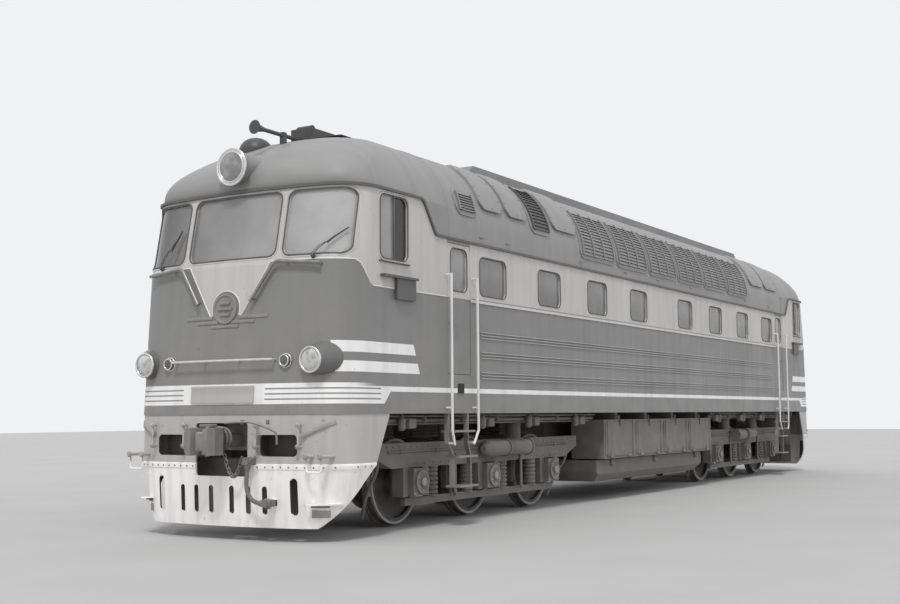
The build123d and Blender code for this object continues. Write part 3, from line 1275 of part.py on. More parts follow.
with BuildPart() as nose_rail:
    add(grab_rail(1))
    add(grab_rail(-1))
    with BuildLine() as rail_path:
        middle_x = nose_x(NOSE_RAIL_Z) + NOSE_RAIL_STEP
        ThreePointArc((middle_x - NOSE_RAIL_BOW, -NOSE_RAIL_HALF_LENGTH, NOSE_RAIL_Z),
                      (middle_x, 0, NOSE_RAIL_Z),
                      (middle_x - NOSE_RAIL_BOW, NOSE_RAIL_HALF_LENGTH, NOSE_RAIL_Z))
    with BuildSketch(Plane(origin=rail_path.line @ 0, z_dir=rail_path.line % 0)):
        Circle(NOSE_RAIL_DIAMETER / 2)
    sweep(path=rail_path.line)
    end_foot_y = NOSE_RAIL_HALF_LENGTH - NOSE_RAIL_END_INSET
    for y in (-end_foot_y, -NOSE_RAIL_FOOT_Y, NOSE_RAIL_FOOT_Y, end_foot_y):
        with BuildSketch(ACROSS.offset(nose_x(NOSE_RAIL_Z) - NOSE_SAG)):
            with Locations((y, NOSE_RAIL_Z)):
                Circle(NOSE_RAIL_FOOT_DIAMETER / 2)
        extrude(amount=NOSE_SAG + NOSE_RAIL_STEP - NOSE_RAIL_BOW * (y / NOSE_RAIL_HALF_LENGTH) ** 2)
    add(cab_wall(0), mode=Mode.SUBTRACT)
save(at_both_ends(nose_rail.part), "nose_rails")

# The horn on each cab roof with its stand and valve box, and the low dome beside it
with BuildPart() as front_horn:
    with BuildSketch(ALONG):
        with BuildLine():
            mouth = -HORN_BELL_X
            Polyline((mouth, HORN_Z), (mouth, HORN_Z + HORN_BELL_DIAMETER / 2),
                     (mouth + HORN_THROAT_LENGTH, HORN_Z + HORN_THROAT_DIAMETER / 2),
                     (mouth + HORN_BELL_LENGTH, HORN_Z + HORN_TUBE_DIAMETER / 2),
                     (-HORN_BOX_FRONT_X, HORN_Z + HORN_TUBE_DIAMETER / 2),
                     (-HORN_BOX_FRONT_X, HORN_Z), close=True)
        make_face()
    revolve(axis=Axis((0, 0, HORN_Z), (1, 0, 0)))
    stand_x = HORN_BELL_X - HORN_LENGTH - HORN_STAND_LENGTH / 2
    stand_base_z = roof_crown_z(stand_x, 0) - HORN_STAND_LENGTH
    with BuildSketch(Plane.XY.offset(stand_base_z)):
        with Locations((stand_x, 0)):
            RectangleRounded(HORN_STAND_LENGTH, HORN_STAND_LENGTH, HORN_STAND_CORNER)
    extrude(amount=HORN_Z + HORN_STAND_LENGTH / 2 - stand_base_z)
    with BuildSketch(Plane.XY.offset(SHOULDER_TOP_Z)):
        with Locations((HORN_BOX_FRONT_X - HORN_BOX_LENGTH / 2, 0)):
            RectangleRounded(HORN_BOX_LENGTH, HORN_BOX_WIDTH, HORN_BOX_CORNER)
    extrude(amount=HORN_BOX_TOP_Z - SHOULDER_TOP_Z)
    with BuildSketch(ALONG.offset(-HORN_DRUM_LENGTH / 2)):
        with Locations((-HORN_BOX_FRONT_X + HORN_DRUM_DIAMETER, HORN_BOX_TOP_Z)):
            Circle(HORN_DRUM_DIAMETER / 2)
    extrude(amount=HORN_DRUM_LENGTH)
    add(front_cab_roof.part, mode=Mode.SUBTRACT)

with BuildPart() as roof_dome:
    with BuildSketch(Plane.XZ.offset(-ROOF_DOME_Y)):
        with BuildLine():
            base_z = roof_crown_z(ROOF_DOME_X, ROOF_DOME_Y)
            rim = (ROOF_DOME_X + ROOF_DOME_RADIUS, base_z)
            high = (ROOF_DOME_X, base_z + ROOF_DOME_HEIGHT)
            half_angle = radians(45)
            middle = (ROOF_DOME_X + ROOF_DOME_RADIUS * sin(half_angle),
                      base_z + ROOF_DOME_HEIGHT * cos(half_angle))
            low_z = base_z - ROOF_DOME_HEIGHT
            ThreePointArc(rim, middle, high)
            Polyline(high, (ROOF_DOME_X, low_z), (rim[0], low_z), rim)
        make_face()
    revolve(axis=Axis((ROOF_DOME_X, ROOF_DOME_Y, 0), (0, 0, 1)))
    add(front_cab_roof.part, mode=Mode.SUBTRACT)

with BuildPart() as front_horn_group:
    add(front_horn.part)
    add(roof_dome.part)
save(at_both_ends(front_horn_group.part), "horns")


# The row of battery boxes on each side and the fuel tank between and below them
with BuildPart() as battery_boxes:
    for leftward in (1, -1):
        with BuildSketch(Plane.XY.offset(BATTERY_BOTTOM_Z)):
            with Locations(((BATTERY_FRONT_X + BATTERY_REAR_X) / 2,
                            leftward * (BATTERY_OUTER_Y - BATTERY_DEPTH / 2))):
                Rectangle(BATTERY_FRONT_X - BATTERY_REAR_X, BATTERY_DEPTH)
        extrude(amount=BATTERY_TOP_Z - BATTERY_BOTTOM_Z)
        for i in range(BATTERY_COUNT):
            with BuildSketch(ALONG.offset(leftward * BATTERY_OUTER_Y)):
                with Locations((-BATTERY_REAR_X - battery_pitch * (i + 0.5),
                                (BATTERY_BOTTOM_Z + BATTERY_TOP_Z) / 2)):
                    RectangleRounded(battery_pitch - BATTERY_DOOR_MARGIN,
                                     BATTERY_TOP_Z - BATTERY_BOTTOM_Z - BATTERY_DOOR_MARGIN,
                                     BATTERY_DOOR_CORNER)
            extrude(amount=leftward * BATTERY_DOOR_STEP)
            with BuildSketch(Plane.XY.offset(BATTERY_TOP_Z)):
                with Locations((BATTERY_REAR_X + battery_pitch * (i + 0.5),
                                leftward * (BATTERY_OUTER_Y - BATTERY_DEPTH / 2))):
                    Rectangle(BATTERY_HANGER, BATTERY_HANGER_DEPTH)
            extrude(amount=beam_top - OUTRIGGER_DEPTH - BATTERY_TOP_Z)
save(battery_boxes, "battery_boxes")

with BuildPart() as fuel_tank:
    with BuildSketch(ACROSS.offset(-TANK_HALF_LENGTH)):
        with BuildLine():
            Polyline((-TANK_HALF_WIDTH, TANK_TOP_Z), (-TANK_HALF_WIDTH, TANK_BOTTOM_Z + TANK_BEVEL),
                     (-TANK_HALF_WIDTH + TANK_BEVEL, TANK_BOTTOM_Z),
                     (TANK_HALF_WIDTH - TANK_BEVEL, TANK_BOTTOM_Z),
                     (TANK_HALF_WIDTH, TANK_BOTTOM_Z + TANK_BEVEL), (TANK_HALF_WIDTH, TANK_TOP_Z),
                     (TANK_NECK_HALF_WIDTH, TANK_TOP_Z),
                     (TANK_NECK_HALF_WIDTH, beam_top - CENTRE_SILL_DEPTH),
                     (-TANK_NECK_HALF_WIDTH, beam_top - CENTRE_SILL_DEPTH),
                     (-TANK_NECK_HALF_WIDTH, TANK_TOP_Z), close=True)
        make_face()
    extrude(amount=2 * TANK_HALF_LENGTH)
    chamfer(fuel_tank.edges().filter_by(Axis.Y).group_by(Axis.Z)[0], TANK_END_BEVEL)
save(fuel_tank, "fuel_tank")


# A wheelset: the axle and its two wheels turned as one
def wheelset_form():
    """The axle with both wheels, about the Y axis through the origin."""
    radius = WHEEL_DIAMETER / 2
    back = BACK_TO_BACK / 2
    web = back + (TYRE_WIDTH - WEB_THICKNESS) / 2
    hub_start = back + TYRE_WIDTH / 2 - HUB_WIDTH / 2
    flange_tip = back + FLANGE_TIP_THICKNESS
    outline = [
        (0, AXLE_DIAMETER / 2), (hub_start, AXLE_DIAMETER / 2), (hub_start, HUB_DIAMETER / 2),
        (web, HUB_DIAMETER / 2), (web, radius - TYRE_THICKNESS), (back, radius - TYRE_THICKNESS),
        (back, radius + FLANGE_DEPTH), (flange_tip, radius + FLANGE_DEPTH),
        (back + FLANGE_THICKNESS, radius), (back + TYRE_WIDTH, radius - TREAD_FALL),
        (back + TYRE_WIDTH, radius - TYRE_THICKNESS), (web + WEB_THICKNESS, radius - TYRE_THICKNESS),
        (web + WEB_THICKNESS, HUB_DIAMETER / 2), (hub_start + HUB_WIDTH, HUB_DIAMETER / 2),
        (hub_start + HUB_WIDTH, JOURNAL_DIAMETER / 2), (JOURNAL_END_Y, JOURNAL_DIAMETER / 2),
        (JOURNAL_END_Y, 0), (0, 0),
    ]
    with BuildPart() as wheelset:
        with BuildSketch(ACROSS):
            with BuildLine():
                Polyline(*outline, close=True)
            make_face()
        revolve(axis=Axis.Y)
        mirror(about=Plane.XZ)
    return wheelset.part


wheelset_solid = wheelset_form()
for end, forward in BOTH_ENDS:
    for number, offset in enumerate(AXLE_OFFSETS, start=1):
        with BuildPart() as wheelset:
            add(wheelset_solid.moved(Location((forward * (BOGIE_PIVOT_X + offset), 0, AXLE_Z))))
        save(wheelset, f"{end}_wheelset_{number}")


# The bogie: side frames with pedestals, transoms and the pivot beam, about its own pivot
with BuildPart() as bogie_frame:
    with BuildSketch(ALONG.offset(FRAME_SIDE_Y)):
        frame_bottom = FRAME_TOP_Z - FRAME_DEPTH
        half_length = FRAME_LENGTH / 2
        with BuildLine():
            Polyline((-half_length, FRAME_TOP_Z), (-half_length, frame_bottom + FRAME_END_RISE),
                     (-half_length + FRAME_END_LENGTH, frame_bottom),
                     (half_length - FRAME_END_LENGTH, frame_bottom),
                     (half_length, frame_bottom + FRAME_END_RISE), (half_length, FRAME_TOP_Z), close=True)
        make_face()
        for offset in AXLE_OFFSETS:
            for direction in (1, -1):
                leg_x = offset + direction * (AXLE_BOX_LENGTH / 2 + PEDESTAL_CLEARANCE + PEDESTAL_WIDTH / 2)
                with Locations((-leg_x, (PEDESTAL_BOTTOM_Z + FRAME_TOP_Z) / 2)):
                    Rectangle(PEDESTAL_WIDTH, FRAME_TOP_Z - PEDESTAL_BOTTOM_Z)
    extrude(amount=FRAME_SIDE_WIDTH)
    mirror(about=Plane.XZ)
    with BuildSketch(Plane.XY.offset(FRAME_TOP_Z)):
        for x in (TRANSOM_X, -TRANSOM_X):
            with Locations((x, 0)):
                Rectangle(TRANSOM_WIDTH, 2 * FRAME_SIDE_Y)
        for x in (FRAME_LENGTH / 2 - TRANSOM_WIDTH / 2, -FRAME_LENGTH / 2 + TRANSOM_WIDTH / 2):
            with Locations((x, 0)):
                Rectangle(TRANSOM_WIDTH, 2 * FRAME_SIDE_Y)
    extrude(amount=-TRANSOM_DEPTH)
    with BuildSketch(Plane.XY.offset(FRAME_TOP_Z)):
        Rectangle(2 * TRANSOM_X, PIVOT_BEAM_WIDTH)
    extrude(amount=-PIVOT_BEAM_DEPTH)
    with BuildSketch(Plane.XY.offset(FRAME_TOP_Z)):
        Circle(PIVOT_DIAMETER / 2 + PIVOT_CLEARANCE)
    extrude(amount=-PIVOT_BEAM_DEPTH, mode=Mode.SUBTRACT)

# Axle boxes in the pedestals, the balancers that hang below them and the coil springs on those
with BuildPart() as axle_boxes:
    box_y = (AXLE_BOX_INNER_Y + AXLE_BOX_OUTER_Y) / 2
    with BuildSketch(ALONG.offset(AXLE_BOX_INNER_Y)):
        for offset in AXLE_OFFSETS:
            with Locations((-offset, AXLE_Z)):
                Rectangle(AXLE_BOX_LENGTH, AXLE_BOX_HEIGHT)
    extrude(amount=AXLE_BOX_OUTER_Y - AXLE_BOX_INNER_Y)
    with BuildSketch(ALONG.offset(AXLE_BOX_OUTER_Y)):
        for offset in AXLE_OFFSETS:
            with Locations((-offset, AXLE_Z)):
                Circle(AXLE_BOX_COVER_DIAMETER / 2)
    extrude(amount=AXLE_BOX_COVER_STEP)
    with BuildSketch(ALONG.offset(AXLE_BOX_OUTER_Y + AXLE_BOX_COVER_STEP)):
        for offset in AXLE_OFFSETS:
            with Locations((-offset, AXLE_Z)):
                Circle(AXLE_BOX_CAP_DIAMETER / 2)
    extrude(amount=AXLE_BOX_CAP_STEP)
    with BuildSketch(ALONG.offset(AXLE_BOX_INNER_Y)):
        for offset in AXLE_OFFSETS:
            with Locations((-offset, AXLE_Z)):
                Circle(JOURNAL_DIAMETER / 2 + JOURNAL_CLEARANCE)
    extrude(amount=JOURNAL_END_Y + JOURNAL_END_GAP - AXLE_BOX_INNER_Y, mode=Mode.SUBTRACT)
    spring_y = FRAME_SIDE_Y + FRAME_SIDE_WIDTH / 2
    with BuildSketch(ALONG.offset(spring_y - BALANCER_WIDTH / 2)):
        with Locations((0, BALANCER_BOTTOM_Z + BALANCER_HEIGHT / 2)):
            Rectangle(2 * AXLE_PITCH + AXLE_BOX_LENGTH, BALANCER_HEIGHT)
        for offset in AXLE_OFFSETS:
            with Locations((-offset, (BALANCER_BOTTOM_Z + AXLE_Z - AXLE_BOX_HEIGHT / 2) / 2)):
                Rectangle(PEDESTAL_WIDTH, AXLE_Z - AXLE_BOX_HEIGHT / 2 - BALANCER_BOTTOM_Z)
    extrude(amount=BALANCER_WIDTH)
    mirror(about=Plane.XZ)


def coil_spring(bottom_z, top_z):
    """A coil spring between its two seats, its turns as rings, about the Z axis."""
    radius = SPRING_DIAMETER / 2
    low_z = bottom_z + SPRING_SEAT_HEIGHT
    turn = (top_z - bottom_z - 2 * SPRING_SEAT_HEIGHT) / SPRING_TURNS
    with BuildPart() as spring:
        with BuildSketch(Plane.XZ):
            with BuildLine():
                Polyline((radius - SPRING_GROOVE, low_z), (radius, low_z), (radius, bottom_z),
                         (0, bottom_z), (0, top_z), (radius, top_z), (radius, top_z - SPRING_SEAT_HEIGHT),
                         (radius - SPRING_GROOVE, top_z - SPRING_SEAT_HEIGHT))
                for i in range(SPRING_TURNS):
                    ThreePointArc((radius - SPRING_GROOVE, low_z + i * turn),
                                  (radius, low_z + (i + 0.5) * turn),
                                  (radius - SPRING_GROOVE, low_z + (i + 1) * turn))
            make_face()
        revolve(axis=Axis.Z)
    return spring.part


spring_form = coil_spring(BALANCER_BOTTOM_Z + BALANCER_HEIGHT, FRAME_TOP_Z - FRAME_DEPTH - BEARER_GAP)
with BuildPart() as springs:
    for middle in (AXLE_PITCH / 2, -AXLE_PITCH / 2):
        for direction in (1, -1):
            spring_x = middle + direction * SPRING_OFFSET
            add(spring_form.moved(Location((spring_x, spring_y, 0))))
            add(spring_form.moved(Location((spring_x, -spring_y, 0))))

# The brake cylinders on the frame, and the shoes that hang beside each wheel
with BuildPart() as brake_gear:
    cylinder_y = FRAME_SIDE_Y + FRAME_SIDE_WIDTH + CYLINDER_FLANGE_DIAMETER / 2
    for number in range(2):
        front_x = CYLINDER_FRONT_X - number * CYLINDER_PITCH
        rear_x = front_x - CYLINDER_LENGTH - CYLINDER_TAPER_LENGTH
        with BuildSketch(Plane.XY.offset(CYLINDER_Z)):
            with BuildLine():
                Polyline((rear_x, cylinder_y), (rear_x, cylinder_y + CYLINDER_FLANGE_DIAMETER / 2),
                         (rear_x + CYLINDER_FLANGE_LENGTH, cylinder_y + CYLINDER_FLANGE_DIAMETER / 2),
                         (rear_x + CYLINDER_FLANGE_LENGTH, cylinder_y + CYLINDER_DIAMETER / 2),
                         (front_x - CYLINDER_TAPER_LENGTH, cylinder_y + CYLINDER_DIAMETER / 2),
                         (front_x, cylinder_y + CYLINDER_TAPER_DIAMETER / 2), (front_x, cylinder_y),
                         close=True)
            make_face()
        revolve(axis=Axis((0, cylinder_y, CYLINDER_Z), (1, 0, 0)))
        foot_x = (rear_x + front_x - CYLINDER_TAPER_LENGTH - CYLINDER_FOOT_LENGTH) / 2
        with BuildSketch(ACROSS.offset(foot_x)):
            foot_width = cylinder_y - FRAME_SIDE_Y - FRAME_SIDE_WIDTH
            with Locations((FRAME_SIDE_Y + FRAME_SIDE_WIDTH + foot_width / 2, CYLINDER_Z)):
                Rectangle(foot_width, CYLINDER_FOOT_HEIGHT)
        extrude(amount=CYLINDER_FOOT_LENGTH)
    tread_radius = WHEEL_DIAMETER / 2
    for offset in AXLE_OFFSETS:
        with BuildSketch(ALONG.offset(SHOE_Y)):
            with Locations((-offset, AXLE_Z)):
                Circle(tread_radius + BRAKE_SHOE_GAP + BRAKE_SHOE_THICKNESS)
                Circle(tread_radius + BRAKE_SHOE_GAP, mode=Mode.SUBTRACT)
                Rectangle(3 * tread_radius, SHOE_HEIGHT, mode=Mode.INTERSECT)
        extrude(amount=BRAKE_SHOE_WIDTH)
        for direction in (1, -1):
            hanger_x = offset + direction * (tread_radius + BRAKE_SHOE_GAP + BRAKE_SHOE_THICKNESS / 2)
            with BuildSketch(ALONG.offset(SHOE_Y + BRAKE_SHOE_WIDTH - HANGER_THICKNESS)):
                with Locations((-hanger_x, (AXLE_Z + HANGER_TOP_Z) / 2)):
                    Rectangle(HANGER_WIDTH, HANGER_TOP_Z - AXLE_Z)
            extrude(amount=HANGER_THICKNESS)
            with BuildSketch(ALONG.offset(SHOE_Y + BRAKE_SHOE_WIDTH)):
                with Locations((-hanger_x, HANGER_TOP_Z - HANGER_WIDTH / 2)):
                    Circle(HANGER_WIDTH / 2)
            extrude(amount=FRAME_SIDE_Y - SHOE_Y - BRAKE_SHOE_WIDTH)
    mirror(about=Plane.XZ)

# The nose-hung traction motors, each bearing on its axle
with BuildPart() as traction_motors:
    for offset, direction in ((AXLE_PITCH, -1), (0, -1), (-AXLE_PITCH, 1)):
        motor_x = offset + direction * MOTOR_OFFSET
        with BuildSketch(ALONG.offset(-MOTOR_WIDTH / 2)):
            with Locations((-motor_x, MOTOR_CENTRE_Z)):
                Circle(MOTOR_DIAMETER / 2)
            with Locations((-offset, AXLE_Z)):
                Circle(SUSPENSION_TUBE_DIAMETER / 2)
                Circle(AXLE_DIAMETER / 2 + AXLE_CLEARANCE, mode=Mode.SUBTRACT)
        extrude(amount=MOTOR_WIDTH)
        with BuildSketch(Plane.XY.offset(MOTOR_CENTRE_Z)):
            with Locations((motor_x + direction * MOTOR_NOSE_OFFSET, 0)):
                Rectangle(MOTOR_NOSE_LENGTH, MOTOR_NOSE_WIDTH)
        extrude(amount=FRAME_TOP_Z - TRANSOM_DEPTH - MOTOR_CENTRE_Z)

for end, forward in BOTH_ENDS:
    for form, name in ((bogie_frame, "bogie_frame"), (axle_boxes, "axle_boxes"), (springs, "springs"),
                       (brake_gear, "brake_gear"), (traction_motors, "traction_motors")):
        turned = form.part if forward > 0 else mirror(form.part, about=Plane.YZ)
        with BuildPart() as placed:
            add(turned.moved(Location((forward * BOGIE_PIVOT_X, 0, 0))))
        save(placed, f"{end}_{name}")
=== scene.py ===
# %% [markdown]
# # A diesel locomotive in its yard light
#
# The construction of this locomotive comes ready made as a set of solid nodes. What is made here
# is what the eye reads first: paint, glass, rubber, chrome, dust, and the many small fittings that
# are too slight for the solids. Every length is in metres, +X is forward, +Y is the left side and
# +Z is up, so a fitting is placed with the same numbers that a drawing of the body would give.

# %% Load the frame
import math

import bpy
from mathutils import Matrix, Vector


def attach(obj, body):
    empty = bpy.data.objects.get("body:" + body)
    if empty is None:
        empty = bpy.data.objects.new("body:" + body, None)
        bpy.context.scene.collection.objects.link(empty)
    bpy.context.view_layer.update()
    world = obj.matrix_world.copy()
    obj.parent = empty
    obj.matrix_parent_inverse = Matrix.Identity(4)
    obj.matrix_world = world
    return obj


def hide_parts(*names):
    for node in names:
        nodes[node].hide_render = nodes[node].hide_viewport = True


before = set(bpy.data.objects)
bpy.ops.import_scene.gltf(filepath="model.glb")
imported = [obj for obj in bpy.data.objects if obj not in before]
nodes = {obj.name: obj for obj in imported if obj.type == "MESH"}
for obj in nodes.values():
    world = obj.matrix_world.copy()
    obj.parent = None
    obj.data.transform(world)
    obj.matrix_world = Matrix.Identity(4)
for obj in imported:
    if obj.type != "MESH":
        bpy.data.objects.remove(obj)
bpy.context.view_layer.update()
SIDES = (1, -1)  # the left and the right side, or the front and the rear end, as signs

# %% [markdown]
# ## Shader maths as plain expressions
#
# A paint recipe is easier to read as `dark + 0.2 * dust` than as a web of nodes. The class below
# wraps one output socket and gives it the arithmetic operators; each operator quietly adds a Math
# node. The alternative is to link every node by hand, which hides the recipe in bookkeeping.

# %% A socket that does arithmetic
class Value:
    """An output socket that can be used in expressions."""

    def __init__(self, tree, socket):
        self.tree = tree
        self.socket = socket

    def maths(self, operation, *others):
        sockets = dict(enumerate((self, *others)))
        return make(self.tree, "ShaderNodeMath", {"operation": operation}, sockets)

    def __add__(self, other):
        return self.maths("ADD", other)

    __radd__ = __add__

    def __sub__(self, other):
        return self.maths("SUBTRACT", other)

    def __rsub__(self, other):
        return (self * -1) + other

    def __mul__(self, other):
        return self.maths("MULTIPLY", other)

    __rmul__ = __mul__

    def over(self, edge, soft=0.002):
        """1 where the value is above edge, 0 below, with a soft step between."""
        return self.smooth(edge - soft, edge + soft)

    def under(self, edge, soft=0.002):
        """1 where the value is below edge."""
        return 1 - self.over(edge, soft)

    def between(self, low, high, soft=0.002):
        """1 where the value lies between two edges."""
        return self.over(low, soft) * self.under(high, soft)

    def smooth(self, low, high):
        """A smooth step from 0 at low to 1 at high."""
        sockets = {"Value": self, "From Min": low, "From Max": high}
        return make(self.tree, "ShaderNodeMapRange", {"interpolation_type": "SMOOTHSTEP"}, sockets)

    def size(self):
        return self.maths("ABSOLUTE")

    def either(self, other):
        return self.maths("MAXIMUM", other)


def plug(tree, socket, item):
    """Link a value to a socket, or set the socket's own number."""
    if isinstance(item, Value):
        tree.links.new(item.socket, socket)
    elif isinstance(item, tuple) and len(item) == 3 and socket.type == "RGBA":
        socket.default_value = (*item, 1.0)
    else:
        socket.default_value = item


def make(tree, kind, settings, sockets, output=0):
    """Any node: its settings first, then the values or links of its sockets."""
    node = tree.nodes.new(kind)
    for key, item in settings.items():
        setattr(node, key, item)
    for key, item in sockets.items():
        plug(tree, node.inputs[key], item)
    return Value(tree, node.outputs[output])


def grey(level, warmth=0.0):
    """A near-neutral colour from one lightness, as the photograph's own tones are."""
    return (level * (1 + warmth), level, level * (1 - warmth))


class Paintbox:
    """One material while its recipe is written."""

    def __init__(self, name):
        self.material = bpy.data.materials.new(name)
        self.material.use_nodes = True
        self.tree = self.material.node_tree
        self.shader = self.tree.nodes["Principled BSDF"]
        self.place = make(self.tree, "ShaderNodeTexCoord", {}, {}, "Object")
        self.x, self.y, self.z = (self.part_of(self.place, axis) for axis in "XYZ")

    def part_of(self, vector, axis):
        """One of the three numbers of a vector."""
        return make(self.tree, "ShaderNodeSeparateXYZ", {}, {"Vector": vector}, axis)

    def faces(self, axis):
        """How far the surface faces along an axis, from -1 to 1."""
        normal = make(self.tree, "ShaderNodeNewGeometry", {}, {}, "Normal")
        return self.part_of(normal, axis)

    def stretched(self, x, y, z):
        """The place with its axes scaled, for grain that runs one way."""
        return make(self.tree, "ShaderNodeMapping", {}, {"Vector": self.place, "Scale": (x, y, z)})

    def noise(self, scale, detail, rough=0.55, place=None):
        """Cloudy noise about 0.5, at so many features a metre."""
        sockets = {"Vector": place or self.place, "Scale": scale, "Detail": detail, "Roughness": rough}
        return make(self.tree, "ShaderNodeTexNoise", {}, sockets)

    def cloud(self, scale, detail=4, low=0.3, high=0.75, place=None):
        """Soft patches: noise with its contrast drawn out."""
        return self.noise(scale, detail, place=place).smooth(low, high)

    def coats(self, colour, *layers):
        """A colour under coats, each given by its cover, its lightness and its warmth."""
        for cover, level, warmth in layers:
            # Socket 0 is the factor, 6 and 7 are the colours, and output 2 is their mix
            sockets = {0: cover, 6: colour, 7: grey(level, warmth)}
            colour = make(self.tree, "ShaderNodeMix", {"data_type": "RGBA"}, sockets, 2)
        return colour

    def bump(self, height, distance, strength):
        sockets = {"Height": height, "Distance": distance, "Strength": strength}
        return make(self.tree, "ShaderNodeBump", {}, sockets)

    def grain(self, scale, detail, distance, strength=0.3):
        """A fine, even roughness of the surface."""
        return self.bump(self.noise(scale, detail), distance, strength)

    def finish(self, **sockets):
        """Set the shader's sockets by their names with underscores for spaces."""
        for key, item in sockets.items():
            plug(self.tree, self.shader.inputs[key.replace("_", " ")], item)
        return self.material


# %% [markdown]
# ## The camera, the floor and the light
#
# The camera stands where the photograph was taken, about eleven metres off the front left corner
# with the lens at chest height, looking slightly upwards. Its position and turn come from fitting the
# wheels, windows and corners of the body to the picture. The light is a soft high sun from ahead
# and a little to the left, under a bright sky: it throws the shadows of the nose's fittings down
# and to the right side of the body, and grazes the long left side.

# %% Camera
FRAME_WIDTH = 900
FOCAL_PIXELS = 1219.9
SENSOR = 36.0
EYE = Vector((19.90, 9.333, 1.367))
YAW, PITCH, ROLL = 0.544, 0.092, -0.007
CENTRE_OFFSET = 2.0

ahead = Vector((-math.cos(YAW) * math.cos(PITCH), -math.sin(YAW) * math.cos(PITCH), math.sin(PITCH)))
level_right = ahead.cross(Vector((0, 0, 1))).normalized()
level_up = level_right.cross(ahead)
right = math.cos(ROLL) * level_right + math.sin(ROLL) * level_up
up = right.cross(ahead)
bpy.ops.object.camera_add(location=EYE)
camera = bpy.context.object
camera.name = "camera"
camera.matrix_world = Matrix.Translation(EYE) @ Matrix((right, up, -ahead)).transposed().to_4x4()
camera.data.sensor_width = SENSOR
camera.data.lens = FOCAL_PIXELS * SENSOR / FRAME_WIDTH
camera.data.shift_x = -CENTRE_OFFSET / FRAME_WIDTH
camera.data.clip_end = 400
bpy.context.scene.camera = camera

# %% Sky and sun
SUN_FROM = Vector((0.68, 0.34, 1.20))
SKY_LEVEL = 0.90
SUN_STRENGTH = 1.55

world = bpy.data.worlds.new("sky")
world.use_nodes = True
world.node_tree.nodes["Background"].inputs["Color"].default_value = (0.97, 0.98, 1.0, 1)
world.node_tree.nodes["Background"].inputs["Strength"].default_value = SKY_LEVEL
bpy.context.scene.world = world
bpy.context.scene.view_settings.view_transform = "Standard"

bpy.ops.object.light_add(type="SUN", location=(12, -8, 14))
sun = bpy.context.object
sun.name = "sun"
sun.rotation_euler = SUN_FROM.to_track_quat("Z", "Y").to_euler()
sun.data.energy = SUN_STRENGTH
sun.data.angle = math.radians(9)

# %% Floor
bpy.ops.mesh.primitive_plane_add(size=160, location=(0, 0, 0))
floor = bpy.context.object
floor.name = "floor"
floor_paint = Paintbox("pale_floor")
floor_tone = 0.40 + 0.06 * floor_paint.noise(0.6, 3)
floor.data.materials.append(
    floor_paint.finish(
        Base_Color=floor_paint.coats(grey(0.0), (floor_tone, 1.0, 0.015)), Roughness=0.9
    )
)

# %% [markdown]
# ## The livery
#
# A real body is sprayed in flat bands with masking tape, then weathers as one skin. So one recipe
# serves every sheet of the body: first it decides, from the height and the distance along the
# body, which band a point lies in, and then rain streaks, dust and faded patches go over all the
# bands together. Painting each band as a sheet of its own would give hard, clean edges but let the
# dirt stop at every border.

# %% Lines of the livery
BELT_EDGE_Z = 2.812
NOSE_EDGE_Z = 3.085
NOSE_EDGE_REAR_X, NOSE_EDGE_FRONT_X = 8.75, 9.03
VEE_BOTTOM_Z, VEE_BOTTOM_Y, VEE_SPREAD, VEE_FOOT_Z, VEE_REAR_X = 2.56, 0.270, 0.63, 2.50, 9.2
BADGE_Z, BADGE_RADIUS, ARCH_RADIUS = 2.575, 0.172, 0.205
LEDGE_Y, LEDGE_X, LEDGE_Z = 1.566, (7.88, 8.64), (2.66, 2.96)
BAND_Z, SILL_Z = (1.495, 1.722), (1.632, 1.690)
BAND_END_X, BAND_END_SLOPE, NOSE_BAND_X = 8.405, 0.90, 8.9
# Thin dark lines on the white band, painted as the shade of its pressed ribs
BAND_SHADE_HEIGHTS = (1.548, 1.606, 1.663)
BAND_SHADE_HALF_WIDTH, BAND_SHADE_INNER_Y, BAND_SHADE_END_X = 0.008, 0.60, 8.60
SPEED_STRIPES = ((1.843, 1.963), (2.059, 2.183))
SPEED_REAR_X, SPEED_SLOPE, SPEED_FRONT_Y = 7.053, 0.40, 1.36
RIB_GROUPS_Z = (1.860, 2.120, 2.375)  # middles of the groups of three ribs
RIB_GROUP_HALF_HEIGHT, RIB_END_X = 0.046, 6.352
RIB_CREST_Y = 1.5675  # the ribs stand 12 mm off the wall at 1.561
BELT_RIB_Z, BELT_RIB_END_X = (2.778, 2.830), 7.3
# A thin dark line just above the belt rib, painted as shade
BELT_SHADE_Z, BELT_SHADE_Y, BELT_SHADE_END_X = (2.814, 2.834), 1.55, 6.58
GUTTER_Z = 3.527
ROOF_TONE_END_X, ROOF_TONE_SLOPE = 7.43, 0.73  # where the roof's tone ends on the sheet over the gutter
DARK, CREAM, WHITE = 0.205, 0.515, 0.90
DUST = 0.34

# %% The body's paint
def striped(height, middles, half_height):
    """1 on level stripes about the given heights."""
    found = 0.0
    for middle in middles:
        found = (height - middle).size().under(half_height).either(found)
    return found


